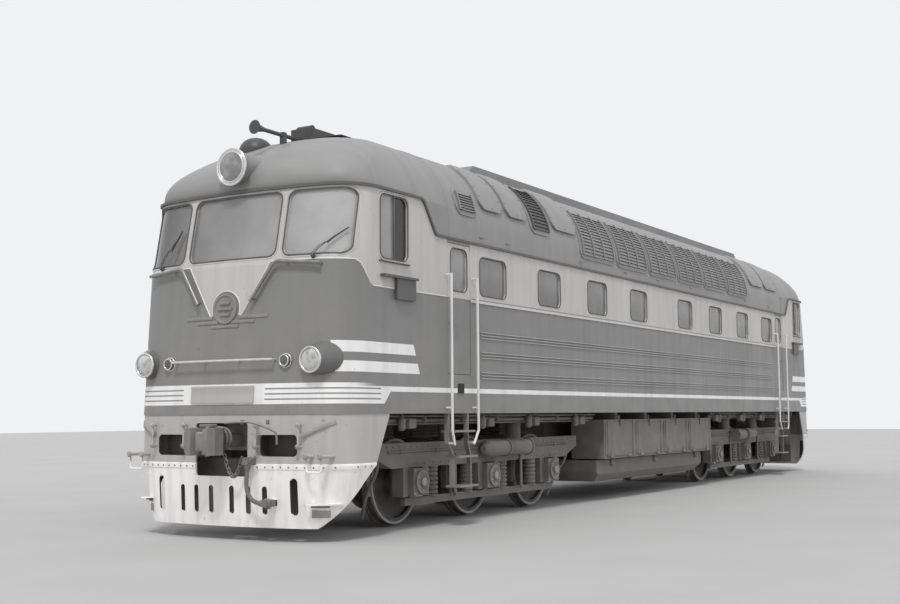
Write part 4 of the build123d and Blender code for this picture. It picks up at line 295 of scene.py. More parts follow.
def body_paint():
    """The body's two bands with their stripes, weathered, with painted light and shade on its ribs."""
    box = Paintbox("body_paint")
    x, y, z = box.x.size(), box.y.size(), box.z
    edge = BELT_EDGE_Z + (NOSE_EDGE_Z - BELT_EDGE_Z) * x.smooth(NOSE_EDGE_REAR_X, NOSE_EDGE_FRONT_X)
    vee = (VEE_BOTTOM_Y + VEE_SPREAD * (z - VEE_BOTTOM_Z) - y).over(0)
    vee = vee * x.over(VEE_REAR_X) * z.over(VEE_FOOT_Z)
    arch = (y * y + (z - BADGE_Z) * (z - BADGE_Z)).over(ARCH_RADIUS * ARCH_RADIUS)
    ledge = y.over(LEDGE_Y) * x.between(*LEDGE_X) * z.between(*LEDGE_Z)
    cream = (z - edge).over(0).either(vee * arch) * (1 - ledge)
    sill_low, sill_high = SILL_Z
    end = BAND_END_X + BAND_END_SLOPE * (sill_low - z).either(0.0)
    band = z.between(*BAND_Z) * (x - end).over(0)
    nose_top = z.under(sill_high).either(x.over(NOSE_BAND_X, 0.25))
    # Painted shade: dark lines along the pressed ribs of the white band
    band_shade_lines = striped(z, BAND_SHADE_HEIGHTS, BAND_SHADE_HALF_WIDTH) * y.over(BAND_SHADE_INNER_Y) * x.over(BAND_SHADE_END_X)
    white = (band * nose_top).either(z.between(*SILL_Z)) * (1 - band_shade_lines)
    behind_slope = (x - (SPEED_REAR_X + SPEED_SLOPE * z)).over(0)
    for low, high in SPEED_STRIPES:
        white = white.either(z.between(low, high) * behind_slope * y.over(SPEED_FRONT_Y))
    crests = y.over(RIB_CREST_Y)
    grooved = striped(z, RIB_GROUPS_Z, RIB_GROUP_HALF_HEIGHT) * x.under(RIB_END_X)
    # Painted highlight: the crest of the belt rib, lighter than the cream
    belt_rib_highlight = crests * z.between(*BELT_RIB_Z) * x.under(BELT_RIB_END_X)
    # Painted shade: a thin dark line just above the belt rib
    belt_shade_line = (1 - crests) * z.between(*BELT_SHADE_Z) * y.over(BELT_SHADE_Y) * x.under(BELT_SHADE_END_X)
    behind_dome = (x - ROOF_TONE_END_X - ROOF_TONE_SLOPE * (z - GUTTER_Z)).under(0)
    above_gutter = z.over(GUTTER_Z + 0.003) * behind_dome
    patches = box.cloud(0.9)
    streaks = box.cloud(1.0, low=0.35, place=box.stretched(7, 7, 0.35))
    low_dust = z.under(2.2, 0.8) * box.cloud(3.0, 5, 0.25)
    chips = box.noise(26, 2).over(0.735, 0.01)
    waves = box.noise(1.4, 1) + 0.02 * box.noise(160, 1)
    return box.finish(
        Base_Color=box.coats(
            grey(DARK, 0.02),
            (cream, CREAM, 0.035),
            (white, WHITE, 0.01),
            (ledge, 0.085, 0.02),
            # Painted highlight on the crests of the side's ribs and painted shade in the grooves between
            # them
            (0.75 * grooved * crests, 0.44, 0.02),
            (0.45 * grooved * (1 - crests), 0.10, 0.03),
            # Painted highlight on the crest of the belt rib
            (0.85 * belt_rib_highlight, 0.68, 0.03),
            # Painted shade above the belt rib
            (0.7 * belt_shade_line, 0.12, 0.03),
            (above_gutter, 0.25, 0.015),
            (0.12 * patches, DUST, 0.02),
            (0.14 * streaks, 0.13, 0.05),
            (0.25 * low_dust * (1 - 0.6 * white), DUST, 0.04),
            (0.5 * chips, 0.08, 0.1),
        ),
        Roughness=0.34 + 0.22 * patches + 0.1 * streaks,
        Normal=box.bump(waves, 0.010, 0.35),
    )


# %% [markdown]
# ## The other finishes
#
# All other parts have simpler recipes, each with the mark that its place leaves on it: soot on
# the roof, mud on the pilots, oil and road dust on the running gear, a film and a painted
# reflection on the glass. Where one solid carries two looks, such as a pilot with painted shade in
# its openings, the recipe tells them apart by place or by the way the surface faces, so no edge of
# a solid has to follow the paint.

# %% Plain paint, roof and louvres
OPEN_LOUVRE_X, OPEN_LOUVRE_Z = (4.31, 4.89), (3.82, 4.58)


def plain_paint(name, level, warmth=0.02, rough=0.45, dirt=0.2, dirt_level=0.1):
    """One colour of paint with patches, streaks and grain."""
    box = Paintbox(name)
    patches = box.cloud(1.3)
    streaks = box.cloud(1.0, low=0.4, high=0.8, place=box.stretched(7, 7, 0.5))
    dirty = (dirt * patches, DUST, 0.03), (dirt * streaks, dirt_level, 0.06)
    return box.finish(
        Base_Color=box.coats(grey(level, warmth), *dirty),
        Roughness=rough + 0.15 * patches,
        Normal=box.grain(120, 2, 0.0006),
    )


def roof_paint():
    """Roof paint: soot along the middle, rain streaks down the shoulders."""
    box = Paintbox("roof_paint")
    patches = box.cloud(1.1)
    streaks = box.cloud(1.0, low=0.35, place=box.stretched(6, 0.6, 0.6))
    soot = box.y.size().under(0.95, 0.35) * box.x.size().under(7.0, 0.8) * (0.6 + 0.4 * patches)
    waves = box.noise(1.2, 1) + 0.02 * box.noise(140, 1)
    return box.finish(
        Base_Color=box.coats(
            grey(0.265, 0.015),
            (0.25 * patches, DUST, 0.02),
            (0.20 * streaks, 0.15, 0.05),
            (0.40 * soot, 0.10, 0.03),
        ),
        Roughness=0.42 + 0.2 * patches,
        Normal=box.bump(waves, 0.012, 0.35),
    )


def louvre_paint():
    """Roof paint on the slats with painted shade on their undersides; the open louvre ahead of the long row
    is painted near black as shade.
    """
    box = Paintbox("louvre_paint")
    patches = box.cloud(1.5)
    open_louvre_shade = box.x.between(*OPEN_LOUVRE_X) * box.z.between(*OPEN_LOUVRE_Z)
    return box.finish(
        Base_Color=box.coats(
            grey(0.25, 0.015),
            (0.3 * patches, 0.16, 0.03),
            # Painted shade: the open louvre near black
            (0.75 * open_louvre_shade, 0.05, 0.0),
            # Painted shade on the faces that point down
            (0.85 * box.faces("Z").under(-0.05, 0.1), 0.03, 0.03),
        ),
        Roughness=0.45 + 0.2 * patches,
        Normal=box.grain(90, 2, 0.0005),
    )


# %% Pilots
PILOT_WHITE_TOP_Z, PILOT_SLOT_TOP_Z, PILOT_SLOT_END_Y = 0.845, 0.70, 1.30
POCKET_FRONT_X, POCKET_Y, POCKET_Z = 9.407, (0.49, 1.035), (0.91, 1.17)
COCK_END_Y, COCK_Z = 0.497, (0.832, 0.918)
HOLDER_REAR_X, HOLDER_Y, HOLDER_Z = 9.46, (0.67, 0.77), (0.37, 0.475)


def pilot_paint():
    """Light grey above the rivet strip, white on the strip and below it, muddy at the foot."""
    box = Paintbox("pilot_paint")
    x, y, z = box.x.size(), box.y.size(), box.z
    across = box.faces("Y")
    # The slots, the pockets and the inner walls of the shell get painted shade, found by place and by the
    # way the surface faces
    slots = across.size().over(0.80, 0.03) * z.under(PILOT_SLOT_TOP_Z) * y.under(PILOT_SLOT_END_Y)
    inner_wall = (across * box.y).under(-0.35) * z.under(PILOT_SLOT_TOP_Z) * y.over(PILOT_SLOT_END_Y)
    pockets = x.under(POCKET_FRONT_X) * y.between(*POCKET_Y) * z.between(*POCKET_Z)
    # The product is positive on the left in front and on the right at the rear
    hose_side = (box.x * box.y).over(3.8)
    cock = y.under(COCK_END_Y) * z.between(*COCK_Z)
    holder = x.over(HOLDER_REAR_X) * y.between(*HOLDER_Y) * z.between(*HOLDER_Z)
    mud = z.under(0.42, 0.30) * box.cloud(5, 5, high=0.7)
    streaks = box.cloud(1.0, low=0.4, place=box.stretched(9, 9, 0.5))
    scrapes = box.noise(14, 6, 0.7).over(0.66, 0.015)
    waves = box.noise(1.6, 1) + 0.03 * box.noise(90, 2)
    return box.finish(
        Base_Color=box.coats(
            grey(0.45, 0.02),
            (z.under(PILOT_WHITE_TOP_Z), 0.90, 0.015),
            (0.22 * streaks, 0.24, 0.06),
            (0.18 * mud, 0.34, 0.08),
            (0.5 * scrapes, 0.16, 0.15),
            # Painted shade in the slots, the pockets and on the inner walls
            (slots.either(pockets).either(inner_wall), 0.055, 0.05),
            (hose_side * cock.either(holder), 0.17, 0.03),
        ),
        Roughness=0.5 + 0.2 * streaks,
        Normal=box.bump(waves, 0.012, 0.4),
    )


# %% Running gear and wheels
PIVOT_X, AXLE_PITCH, AXLE_Z = 5.47, 1.8, 0.555
TYRE_BAND, TYRE_FACE_Y = (0.492, 0.522), 0.83


def gear_steel(name, level, dust_level):
    """Oily steel under the body, with grey road dust on whatever faces up."""
    box = Paintbox(name)
    grime = box.cloud(3.5, 5)
    dust = box.faces("Z").smooth(0.1, 0.9) * (0.45 + 0.4 * grime)
    return box.finish(
        Base_Color=box.coats(
            grey(level * 0.85, 0.06), (grime, level * 1.25, 0.05), (dust, dust_level, 0.05)
        ),
        Roughness=0.55 + 0.3 * grime,
        Normal=box.grain(70, 4, 0.002, 0.5),
    )


def wheel_steel():
    """Sooty wheels with a paler band round the outer edge of each tyre."""
    box = Paintbox("wheel_steel")
    off = (box.x.size() - PIVOT_X).size()
    off = off.maths("MINIMUM", (off - AXLE_PITCH).size())
    high = box.z - AXLE_Z
    radius = (off * off + high * high).maths("SQRT")
    grime = box.cloud(6, 5)
    edge = radius.between(*TYRE_BAND, 0.004) * box.y.size().over(TYRE_FACE_Y)
    return box.finish(
        Base_Color=box.coats(
            grey(0.05, 0.06), (grime, 0.12, 0.05), (edge * (0.9 - 0.4 * grime), 0.42, 0.03)
        ),
        Roughness=0.5 + 0.3 * grime,
        Normal=box.grain(60, 4, 0.001, 0.4),
    )


# %% Panes
SIDE_PANE_Y, SASH_X = 1.50, 8.325
DOOR_PANE_X, PANE_SHADE_Z = 6.6, (2.9, 3.4)


def cab_pane_glass():
    """Dusty windshields with a painted reflection of the bright sky, lighter towards the left; the rear
    half of a side pane is painted dark as shade, as if its sash stood open.
    """
    box = Paintbox("cab_pane_glass")
    film = box.cloud(1.5, 3, 0.2, 0.85)
    side = box.y.size().over(SIDE_PANE_Y)
    # Painted shade: the rear half of each side pane is dark and less clear
    open_sash_shade = side * box.x.size().under(SASH_X)
    # Painted reflection of the sky over the dust film, lighter towards the left on the windshields
    level = ((0.31 + 0.14 * box.y) * (1 - side) + 0.38 * side) * (0.90 + 0.20 * film)
    return box.finish(
        Base_Color=box.coats(grey(0.0), (level, 1.0, 0.01), (open_sash_shade, 0.03, 0.0)),
        Roughness=0.08 + 0.1 * film,
        Alpha=0.72 + 0.12 * film + 0.15 * open_sash_shade,
        Coat_Weight=0.5 - 0.5 * open_sash_shade,
    )


def body_pane_glass():
    """Dusty panes of the engine room, darker towards their lower edge."""
    box = Paintbox("body_pane_glass")
    film = box.cloud(1.8, 3, 0.25, 0.8)
    doors = 0.10 * box.x.size().over(DOOR_PANE_X)
    # The panes' grey is their dust film with painted reflection and shade, lighter towards the top and on
    # the door panes
    level = (0.17 + 0.10 * box.z.smooth(*PANE_SHADE_Z) + doors) * (0.9 + 0.2 * film)
    return box.finish(
        Base_Color=box.coats(grey(0.0), (level, 1.0, 0.01)),
        Roughness=0.10 + 0.1 * film,
        Alpha=0.74 + 0.12 * film,
        Coat_Weight=0.4,
    )


# %% Lamps, rails, chrome and rubber
ROOF_LAMP_LOW_Z, GRAB_RAIL_LOW_Z = 3.0, 2.3
FLUTE_FIELD = 0.3  # the width over which a lens has its number of flutes


def lamp_case():
    """Housings in the paint of what carries them: the roof's above, the nose's below."""
    box = Paintbox("lamp_case")
    patches = box.cloud(3.0)
    above = box.z.over(ROOF_LAMP_LOW_Z)
    return box.finish(
        Base_Color=box.coats(grey(0.15, 0.02), (above, 0.24, 0.015), (0.3 * patches, 0.10, 0.04)),
        Roughness=0.28 + 0.2 * patches,
        Normal=box.grain(60, 2, 0.0005),
    )


def lamp_lens(name, dark, bright, flutes):
    """A fluted lens over a reflector, painted with its reflection: bright and dark fields from the bowl and
    painted highlights along the flutes.
    """
    box = Paintbox(name)
    fields = box.cloud(7, 2, 0.35, 0.65)
    flute = (box.y * (2 * math.pi * flutes / FLUTE_FIELD)).maths("SINE") * 0.5 + 0.5
    return box.finish(
        # Painted reflection of the bowl in bright fields, painted highlights along the flutes
        Base_Color=box.coats(grey(dark, 0.01), (fields * 0.75 + flute * 0.25, bright, 0.015)),
        Roughness=0.10 + 0.1 * fields,
        Coat_Weight=0.7,
        Normal=box.bump(flute, 0.003, 0.6),
    )


def rail_tube():
    """The bright rail low on the nose, and the duller grab rails under the windshields."""
    box = Paintbox("rail_tube")
    wear = box.cloud(14, low=0.35, high=0.7)
    above = box.z.over(GRAB_RAIL_LOW_Z)
    return box.finish(
        Base_Color=box.coats(grey(0.70, 0.01), (above, 0.24, 0.02), (0.35 * wear, 0.42, 0.02)),
        Roughness=0.3 + 0.2 * wear,
        Metallic=0.5,
        Normal=box.grain(90, 2, 0.0004),
    )


def chrome():
    """Plated trim, a little clouded."""
    box = Paintbox("chrome")
    cloud = box.noise(18, 3)
    return box.finish(
        Base_Color=box.coats(grey(0.78, 0.01), (0.3 * cloud, 0.4, 0.0)),
        Metallic=1.0,
        Roughness=0.14 + 0.2 * cloud,
    )


def rubber(name, fresh, dried):
    """Grey, dried-out window and hose rubber."""
    box = Paintbox(name)
    age = box.noise(9, 4)
    return box.finish(
        Base_Color=box.coats(grey(fresh), (age, dried, 0.03)),
        Roughness=0.7 + 0.2 * age,
        Normal=box.grain(220, 2, 0.0005, 0.4),
    )


# %% Hand the finishes to the solids
finishes = {
    "body": body_paint(),
    "roof": roof_paint(),
    "louvre": louvre_paint(),
    "pilot": pilot_paint(),
    "gear": gear_steel("gear_steel", 0.16, 0.28),
    "box": gear_steel("box_steel", 0.165, 0.26),
    "rail": plain_paint("rail_white", 0.74, 0.01, 0.4, 0.15, 0.3),
    "inner": plain_paint("cab_lining", 0.30, 0.03, 0.6),
    "seat": plain_paint("seat_leather", 0.09, 0.1, 0.5, 0.1),
    "chrome": chrome(),
    "dark_trim": plain_paint("dark_trim", 0.10, 0.01, 0.45, 0.1),
    "windshield": cab_pane_glass(),
    "side_glass": body_pane_glass(),
    "lamp_case": lamp_case(),
    "rail_tube": rail_tube(),
    "wheel": wheel_steel(),
    "horn": plain_paint("horn_black", 0.050, 0.02, 0.4, 0.12, 0.03),
    "steel": gear_steel("worn_steel", 0.17, 0.30),
    "coupler": gear_steel("coupler_steel", 0.19, 0.33),
    "bright_gear": gear_steel("bright_gear", 0.30, 0.40),
    "rubber": rubber("rubber", 0.07, 0.15),
    "hose": rubber("hose_rubber", 0.10, 0.20),
    "badge": plain_paint("badge_metal", 0.22, 0.03, 0.35, 0.3, 0.10),
    "plate": plain_paint("plate_metal", 0.44, 0.02, 0.45, 0.15, 0.3),
    "lens": lamp_lens("lamp_glass", 0.16, 0.62, 22),
    "marker_lens": lamp_lens("marker_glass", 0.05, 0.12, 40),
    "roof_lens": lamp_lens("roof_lamp_glass", 0.16, 0.32, 30),
    # Near black, painted as the shade inside the foot holes
    "hole_shade": plain_paint("unlit_inside", 0.012, 0.0, 0.8, 0.1, 0.01),
}
NODE_FINISHES = (
    ("body", ("front_cab", "rear_cab", "body_side", "_door", "entrance_steps")),
    ("roof", ("cab_roof", "engine_roof", "roof_duct")),
    ("louvre", ("roof_louvres",)),
    ("horn", ("horns",)),
    ("pilot", ("pilot",)),
    ("box", ("battery_boxes", "fuel_tank")),
    ("rail", ("door_rails",)),
    ("rail_tube", ("nose_rails",)),
    ("wheel", ("wheelset",)),
    ("coupler", ("coupler",)),
    ("steel", ("brake_gear",)),
    ("inner", ("bulkheads", "cab_desks")),
    ("seat", ("cab_seats",)),
    ("lamp_case", ("roof_lamps", "lower_lamps")),
    # The rain gutter takes the dark trim paint as a painted shade line along the body
    ("dark_trim", ("rain_gutter",)),
    ("windshield", ("cab_glass",)),
    ("side_glass", ("body_glass", "door_glass")),
    ("rubber", ("hose",)),
)


def finish_of(node_name):
    """The last finish in the table whose word is in the node's name, or the running gear's."""
    found = "gear"
    for finish, words in NODE_FINISHES:
        if any(word in node_name for word in words):
            found = finish
    return finishes[found]


for name, node in nodes.items():
    node.data.materials.clear()
    node.data.materials.append(finish_of(name))
print("finishes:", len(finishes))

# %% [markdown]
# ## The moves that make every fitting
#
# Nearly every fitting of a locomotive is one of four things: something turned on a lathe, a block
# cut from plate with its edges broken, a bent pipe, or many copies of one bolt. So a few small
# functions do with operators what a maker would do in the viewport. Each starts by deselecting
# everything, because an operator works on whatever is selected, and each leaves its piece at the
# origin with its place in its mesh, as the solids are.

# %% Blocks, turned pieces and pipes
def alone(piece):
    """Select one piece only."""
    bpy.ops.object.select_all(action="DESELECT")
    piece.select_set(True)
    bpy.context.view_layer.objects.active = piece


def discard(piece):
    """Delete a model that only served to be copied."""
    alone(piece)
    bpy.ops.object.delete()


def settle(piece, smooth=35):
    """Bring a piece's place and turn into its mesh and smooth its gentle edges."""
    alone(piece)
    bpy.ops.object.transform_apply(location=True, rotation=True, scale=True)
    bpy.ops.object.shade_smooth_by_angle(angle=math.radians(smooth))
    return piece


def stretch(piece, scale):
    """Scale the selected piece along its axes, before it is turned."""
    piece.scale = scale
    bpy.ops.object.transform_apply(location=False, rotation=False, scale=True)


def aim(piece, centre, direction, smooth=35):
    """Turn a piece that was made along Z into a direction, and set it in its place."""
    piece.rotation_euler = Vector(direction).to_track_quat("Z", "Y").to_euler()
    piece.location = centre
    return settle(piece, smooth)


def face_outward():
    """Turn all faces of the selected piece outwards."""
    bpy.ops.object.mode_set(mode="EDIT")
    bpy.ops.mesh.select_all(action="SELECT")
    bpy.ops.mesh.normals_make_consistent(inside=False)
    bpy.ops.object.mode_set(mode="OBJECT")


def block(centre, size, edge=0.006, turn=(0, 0, 0), steps=2):
    """A plate or a block with broken edges."""
    bpy.ops.object.select_all(action="DESELECT")
    bpy.ops.mesh.primitive_cube_add(size=1, location=centre, rotation=turn)
    piece = bpy.context.object
    stretch(piece, size)
    bpy.ops.object.mode_set(mode="EDIT")
    bpy.ops.mesh.select_all(action="SELECT")
    bpy.ops.mesh.bevel(offset=edge, segments=steps, affect="EDGES")
    bpy.ops.object.mode_set(mode="OBJECT")
    return settle(piece)


def turned(centre, direction, profile, sides):
    """A turned piece: a disc drawn out along its axis and widened step by step.

    The profile holds pairs of a distance along the axis and the radius there.
    """
    bpy.ops.object.select_all(action="DESELECT")
    along, radius = profile[0]
    bpy.ops.mesh.primitive_circle_add(
        vertices=sides, radius=radius, fill_type="NGON", location=(0, 0, along)
    )
    piece = bpy.context.object
    bpy.ops.object.transform_apply(location=True, rotation=False, scale=False)
    bpy.ops.object.mode_set(mode="EDIT")
    bpy.ops.mesh.select_all(action="SELECT")
    for next_along, next_radius in profile[1:]:
        bpy.ops.mesh.extrude_region_move(TRANSFORM_OT_translate={"value": (0, 0, next_along - along)})
        share = next_radius / radius
        bpy.ops.transform.resize(value=(share, share, 1), center_override=(0, 0, next_along))
        along, radius = next_along, next_radius
    face_outward()
    return aim(piece, centre, direction)


def drawn(points, kind="POLY", closed=False):
    """A line through points, straight between them or softly bent, still without a thickness."""
    bpy.ops.object.select_all(action="DESELECT")
    bpy.ops.curve.primitive_nurbs_path_add(location=(0, 0, 0))
    line = bpy.context.object
    line.data.splines.clear()
    spline = line.data.splines.new(kind)
    spline.points.add(len(points) - 1)
    for point, place in zip(spline.points, points):
        point.co = (*place, 1)
    spline.use_cyclic_u = closed
    if kind == "NURBS":
        spline.order_u = 3
        spline.use_endpoint_u = not closed
    line.data.use_fill_caps = not closed
    return line


def pipe(points, radius, closed=False, kind="POLY", fineness=1):
    """A pipe, rod or bead along points; the kind NURBS bends it softly between them."""
    line = drawn(points, kind, closed)
    line.data.bevel_depth = radius
    line.data.bevel_resolution = fineness
    bpy.ops.object.convert(target="MESH")
    return settle(bpy.context.object, 60)


def strap(points, half_height, half_thickness):
    """A flat bar standing on edge along points of a line that runs level."""
    line = drawn(points)
    line.data.twist_mode = "Z_UP"
    line.data.extrude = half_height - half_thickness
    line.data.bevel_depth = half_thickness
    line.data.bevel_resolution = 1
    bpy.ops.object.convert(target="MESH")
    return settle(bpy.context.object, 50)


def ring(centre, direction, radius, thickness, flatness=1.0):
    """A round bead about an axis, drawn flatter or fuller along it."""
    bpy.ops.object.select_all(action="DESELECT")
    bpy.ops.mesh.primitive_torus_add(
        major_radius=radius, minor_radius=thickness, major_segments=48, minor_segments=10
    )
    piece = bpy.context.object
    stretch(piece, (1, 1, flatness))
    return aim(piece, centre, direction, 80)


# %% Joining, copying and handing over
AHEAD, ASIDE, UPWARD = (1, 0, 0), (0, 1, 0), (0, 0, 1)


def joined(pieces):
    """Several pieces as one."""
    if len(pieces) == 1:
        return pieces[0]
    bpy.ops.object.select_all(action="DESELECT")
    for piece in pieces:
        piece.select_set(True)
    bpy.context.view_layer.objects.active = pieces[0]
    bpy.ops.object.join()
    return bpy.context.object


def twin(piece, half_turn=False, flip=False):
    """A copy of its own, at the other end of the body or on its right side."""
    alone(piece)
    bpy.ops.object.duplicate(linked=False)
    copy = bpy.context.object
    copy.rotation_euler.z = math.pi if half_turn else 0.0
    copy.scale.y = -1 if flip else 1
    bpy.ops.object.transform_apply(location=False, rotation=True, scale=True)
    if flip:
        face_outward()
    return copy


def both_ends(*pieces):
    """The pieces of the front end as one, with their copy at the rear."""
    piece = joined(pieces)
    return joined([piece, twin(piece, half_turn=True)])


def both_sides(*pieces):
    """The pieces of the left side as one, with their mirrored copy on the right."""
    piece = joined(pieces)
    return joined([piece, twin(piece, flip=True)])


def facing(place, direction):
    """A place for a copy whose own Z axis shall point in a direction."""
    turn = Vector(direction).to_track_quat("Z", "Y").to_matrix().to_4x4()
    return Matrix.Translation(place) @ turn


def strewn(model, places):
    """A copy of the model at each place, each with its own mesh, joined into one piece."""
    copies = []
    for place in places:
        copy = model.copy()
        copy.data = model.data.copy()
        copy.matrix_world = place
        bpy.context.collection.objects.link(copy)
        copies.append(copy)
    discard(model)
    piece = joined(copies)
    bpy.ops.object.transform_apply(location=True, rotation=True, scale=True)
    return piece


def rivet(radius):
    """A round rivet head on the XY plane."""
    dome = ((-0.002, 1), (0.3 * radius, 1), (0.7 * radius, 0.72), (0.9 * radius, 0.2))
    return turned((0, 0, 0), UPWARD, [(along, share * radius) for along, share in dome], sides=8)


def bolt(radius):
    """A hexagon bolt head on its washer, on the XY plane."""
    washer = ((-0.002, 1.35 * radius), (0.22 * radius, 1.3 * radius))
    head = ((0, radius), (0.75 * radius, radius), (0.9 * radius, 0.85 * radius))
    return joined(
        [turned((0, 0, 0), UPWARD, washer, sides=12), turned((0, 0, 0), UPWARD, head, sides=6)]
    )


def evenly(low, high, count):
    """Numbers from low to high, evenly spaced."""
    return [low + (high - low) * i / (count - 1) for i in range(count)]


def circle(radius, count, start):
    """Pairs of numbers evenly spaced on a circle, the first one at an angle in degrees."""
    angles = [math.radians(start + 360 / count * i) for i in range(count)]
    return [(radius * math.cos(angle), radius * math.sin(angle)) for angle in angles]


def mirrored(points):
    """The same line on the other side of the body, run backwards."""
    return [Vector((p.x, -p.y, p.z)) for p in reversed(points)]


triangles = {}


def fit(piece, name, finish, body="locomotive_body"):
    """Name a finished piece, paint it and let it ride on its body."""
    piece.name = name
    piece.data.materials.clear()
    piece.data.materials.append(finishes[finish])
    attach(piece, body)
    triangles[name] = sum(len(face.vertices) - 2 for face in piece.data.polygons)
    print(name, "made:", triangles[name], "triangles")
    return piece


# %% [markdown]
# ## The brake hoses
#
# A brake hose is a stiff tube of rubber and canvas that hangs from its cock in one bend and ends in
# a hooked coupling head, parked in a holder. A mesh tube would need its own path to be measured
# along, so it is a curve: one NURBS spline through the route that the drawing gives, with a round
# bevel. Clamped ferrules stiffen both of its ends.

# %% Hoses with their ferrules and coupling heads
HOSE_X = 9.565
HOSE_ROUTE = (  # how far across and how high, from the cock down to the holder
    (0.450, 0.835), (0.450, 0.745), (0.438, 0.650), (0.447, 0.555), (0.500, 0.470),
    (0.585, 0.425), (0.680, 0.425),
)
HOSE_DIAMETER, HOSE_LENGTH = 0.048, 0.567
FERRULE = ((-0.012, 0.036), (0.030, 0.036), (0.036, 0.033), (0.048, 0.033), (0.062, 0.027))
HEAD = ((0, 0.046), (0.012, 0.056), (0.046, 0.056), (0.056, 0.044), (0.058, 0.026), (0.066, 0.022))
HEAD_REACH, HEAD_HALF = 0.055, 0.028
HEAD_LUGS = (
    ((0.004, 0.035, 0.030), (0.030, 0.075, 0.028), 0.008),
    ((0.004, 0.020, -0.048), (0.026, 0.050, 0.022), 0.007),
)

for end, forward in zip(("front", "rear"), SIDES):
    route = [Vector((forward * HOSE_X, forward * across, height)) for across, height in HOSE_ROUTE]
    hose = drawn(route, "NURBS")
    hose.data.splines[0].resolution_u = 10
    hose.data.bevel_depth = HOSE_DIAMETER / 2
    hose.data.bevel_resolution = 4
    hose.name = f"{end}_hose"
    hose.data.materials.append(finishes["hose"])
    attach(hose, "locomotive_body")
    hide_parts(f"{end}_brake_hose")
    upper = turned(route[0], (0, 0, -1), FERRULE, sides=20)
    lower = turned(route[-1], (0, -forward, 0), FERRULE, sides=20)
    ferrules = fit(joined([upper, lower]), f"{end}_hose_ferrules", "gear")
    head_place = route[-1] + Vector((0, forward * HEAD_REACH, 0))
    head_start = head_place - Vector((forward * HEAD_HALF, 0, 0))
    head = [turned(head_start, (forward, 0, 0), HEAD, sides=24)]
    for (x, y, z), size, edge in HEAD_LUGS:
        head.append(block(head_place + Vector((forward * x, forward * y, z)), size, edge))
    head = fit(joined(head), f"{end}_hose_head", "box")
print("hoses made")

# %% [markdown]
# ## Rubber round the windows
#
# Each pane sits in a rubber section that is pressed over the edge of its opening, and the big
# panes have a pressed rim in the sheet around that. The nose is bowed, so a flat ring would sink
# into it. Instead a straight line is shot at the nose from ahead for every point of the outline,
# and the bead is drawn through the places where it lands. The flat sides need only one height of
# the bead above the sheet.

# %% Outlines on the body's skin
SIDE_Y = 1.561
FAR_X, FAR_Y, FAR_Z = 12, 3, 6  # well off the body, where the lines start that are shot at it
NOSE_AXIS_X = 8.7
CORNER_STEPS, LONGEST_RUN = 6, 0.09


def outline(low_u, high_u, low_v, high_v, corner, spread=0.0):
    """Points round a rectangle with round corners, grown by spread."""
    low_u, low_v, high_u, high_v = low_u - spread, low_v - spread, high_u + spread, high_v + spread
    corner = corner + spread
    centres = (
        (high_u - corner, high_v - corner, 0),
        (low_u + corner, high_v - corner, 90),
        (low_u + corner, low_v + corner, 180),
        (high_u - corner, low_v + corner, 270),
    )
    points = []
    for centre_u, centre_v, start in centres:
        for angle in evenly(math.radians(start), math.radians(start + 90), CORNER_STEPS + 1):
            points.append((centre_u + corner * math.cos(angle), centre_v + corner * math.sin(angle)))
    spaced = []
    for first, second in zip(points, points[1:] + points[:1]):
        parts = max(1, round(math.dist(first, second) / LONGEST_RUN))
        for part in range(parts):
            share = part / parts
            spaced.append(tuple(a + (b - a) * share for a, b in zip(first, second)))
    return spaced


def shot(node_name, start, direction):
    """Where a straight line lands on a solid, and the way in which the solid faces there."""
    hit, place, normal, _ = nodes[node_name].ray_cast(Vector(start), Vector(direction).normalized())
    if not hit:
        raise ValueError(f"nothing of {node_name} ahead of {start}")
    return place, normal


def landed(node_name, start, direction, proud=0.0):
    """A place on a solid, raised from its surface by proud."""
    place, normal = shot(node_name, start, direction)
    return place + normal * proud


def from_ahead(node_name, y, z, proud=0.0):
    """A place on the front of a solid."""
    return landed(node_name, (FAR_X, y, z), (-1, 0, 0), proud)


def on_nose(y, z, proud=0.0):
    """A place on the front of the nose."""
    return from_ahead("front_cab", y, z, proud)


def round_nose(angle, z):
    """A place on the nose in a direction from its middle, in degrees to the left of ahead."""
    heading = Vector((math.cos(math.radians(angle)), math.sin(math.radians(angle)), 0))
    return landed("front_cab", Vector((NOSE_AXIS_X, 0, z)) + 4 * heading, -heading)


def seat_ahead(node_name, y, z):
    """A seat for a copy on the front of a solid, its Z axis along the way that this faces."""
    return facing(*shot(node_name, (FAR_X, y, z), (-1, 0, 0)))


def seat_beside(node_name, x, z, side=1):
    """The same on the left or the right side of a solid."""
    return facing(*shot(node_name, (x, side * FAR_Y, z), (0, -side, 0)))


# %% Gaskets and pressed rims
PANES = ((-0.64, 0.64), (0.74, 1.485), (-1.485, -0.74))
PANE_LOW, PANE_HIGH, PANE_CORNER = 3.15, 3.89, 0.09
CAB_WINDOW = (8.05, 8.61, 3.15, 3.88)
BODY_WINDOW = (-0.35, 0.35, 2.89, 3.385)
BODY_WINDOW_XS = tuple(side * (1.08 + 1.643 * i) for side in SIDES for i in range(4))
DOOR_X, DOOR_SKIN_Y = 6.877, 1.556
DOOR_WINDOW = (DOOR_X - 0.2, DOOR_X + 0.2, 2.90, 3.43)

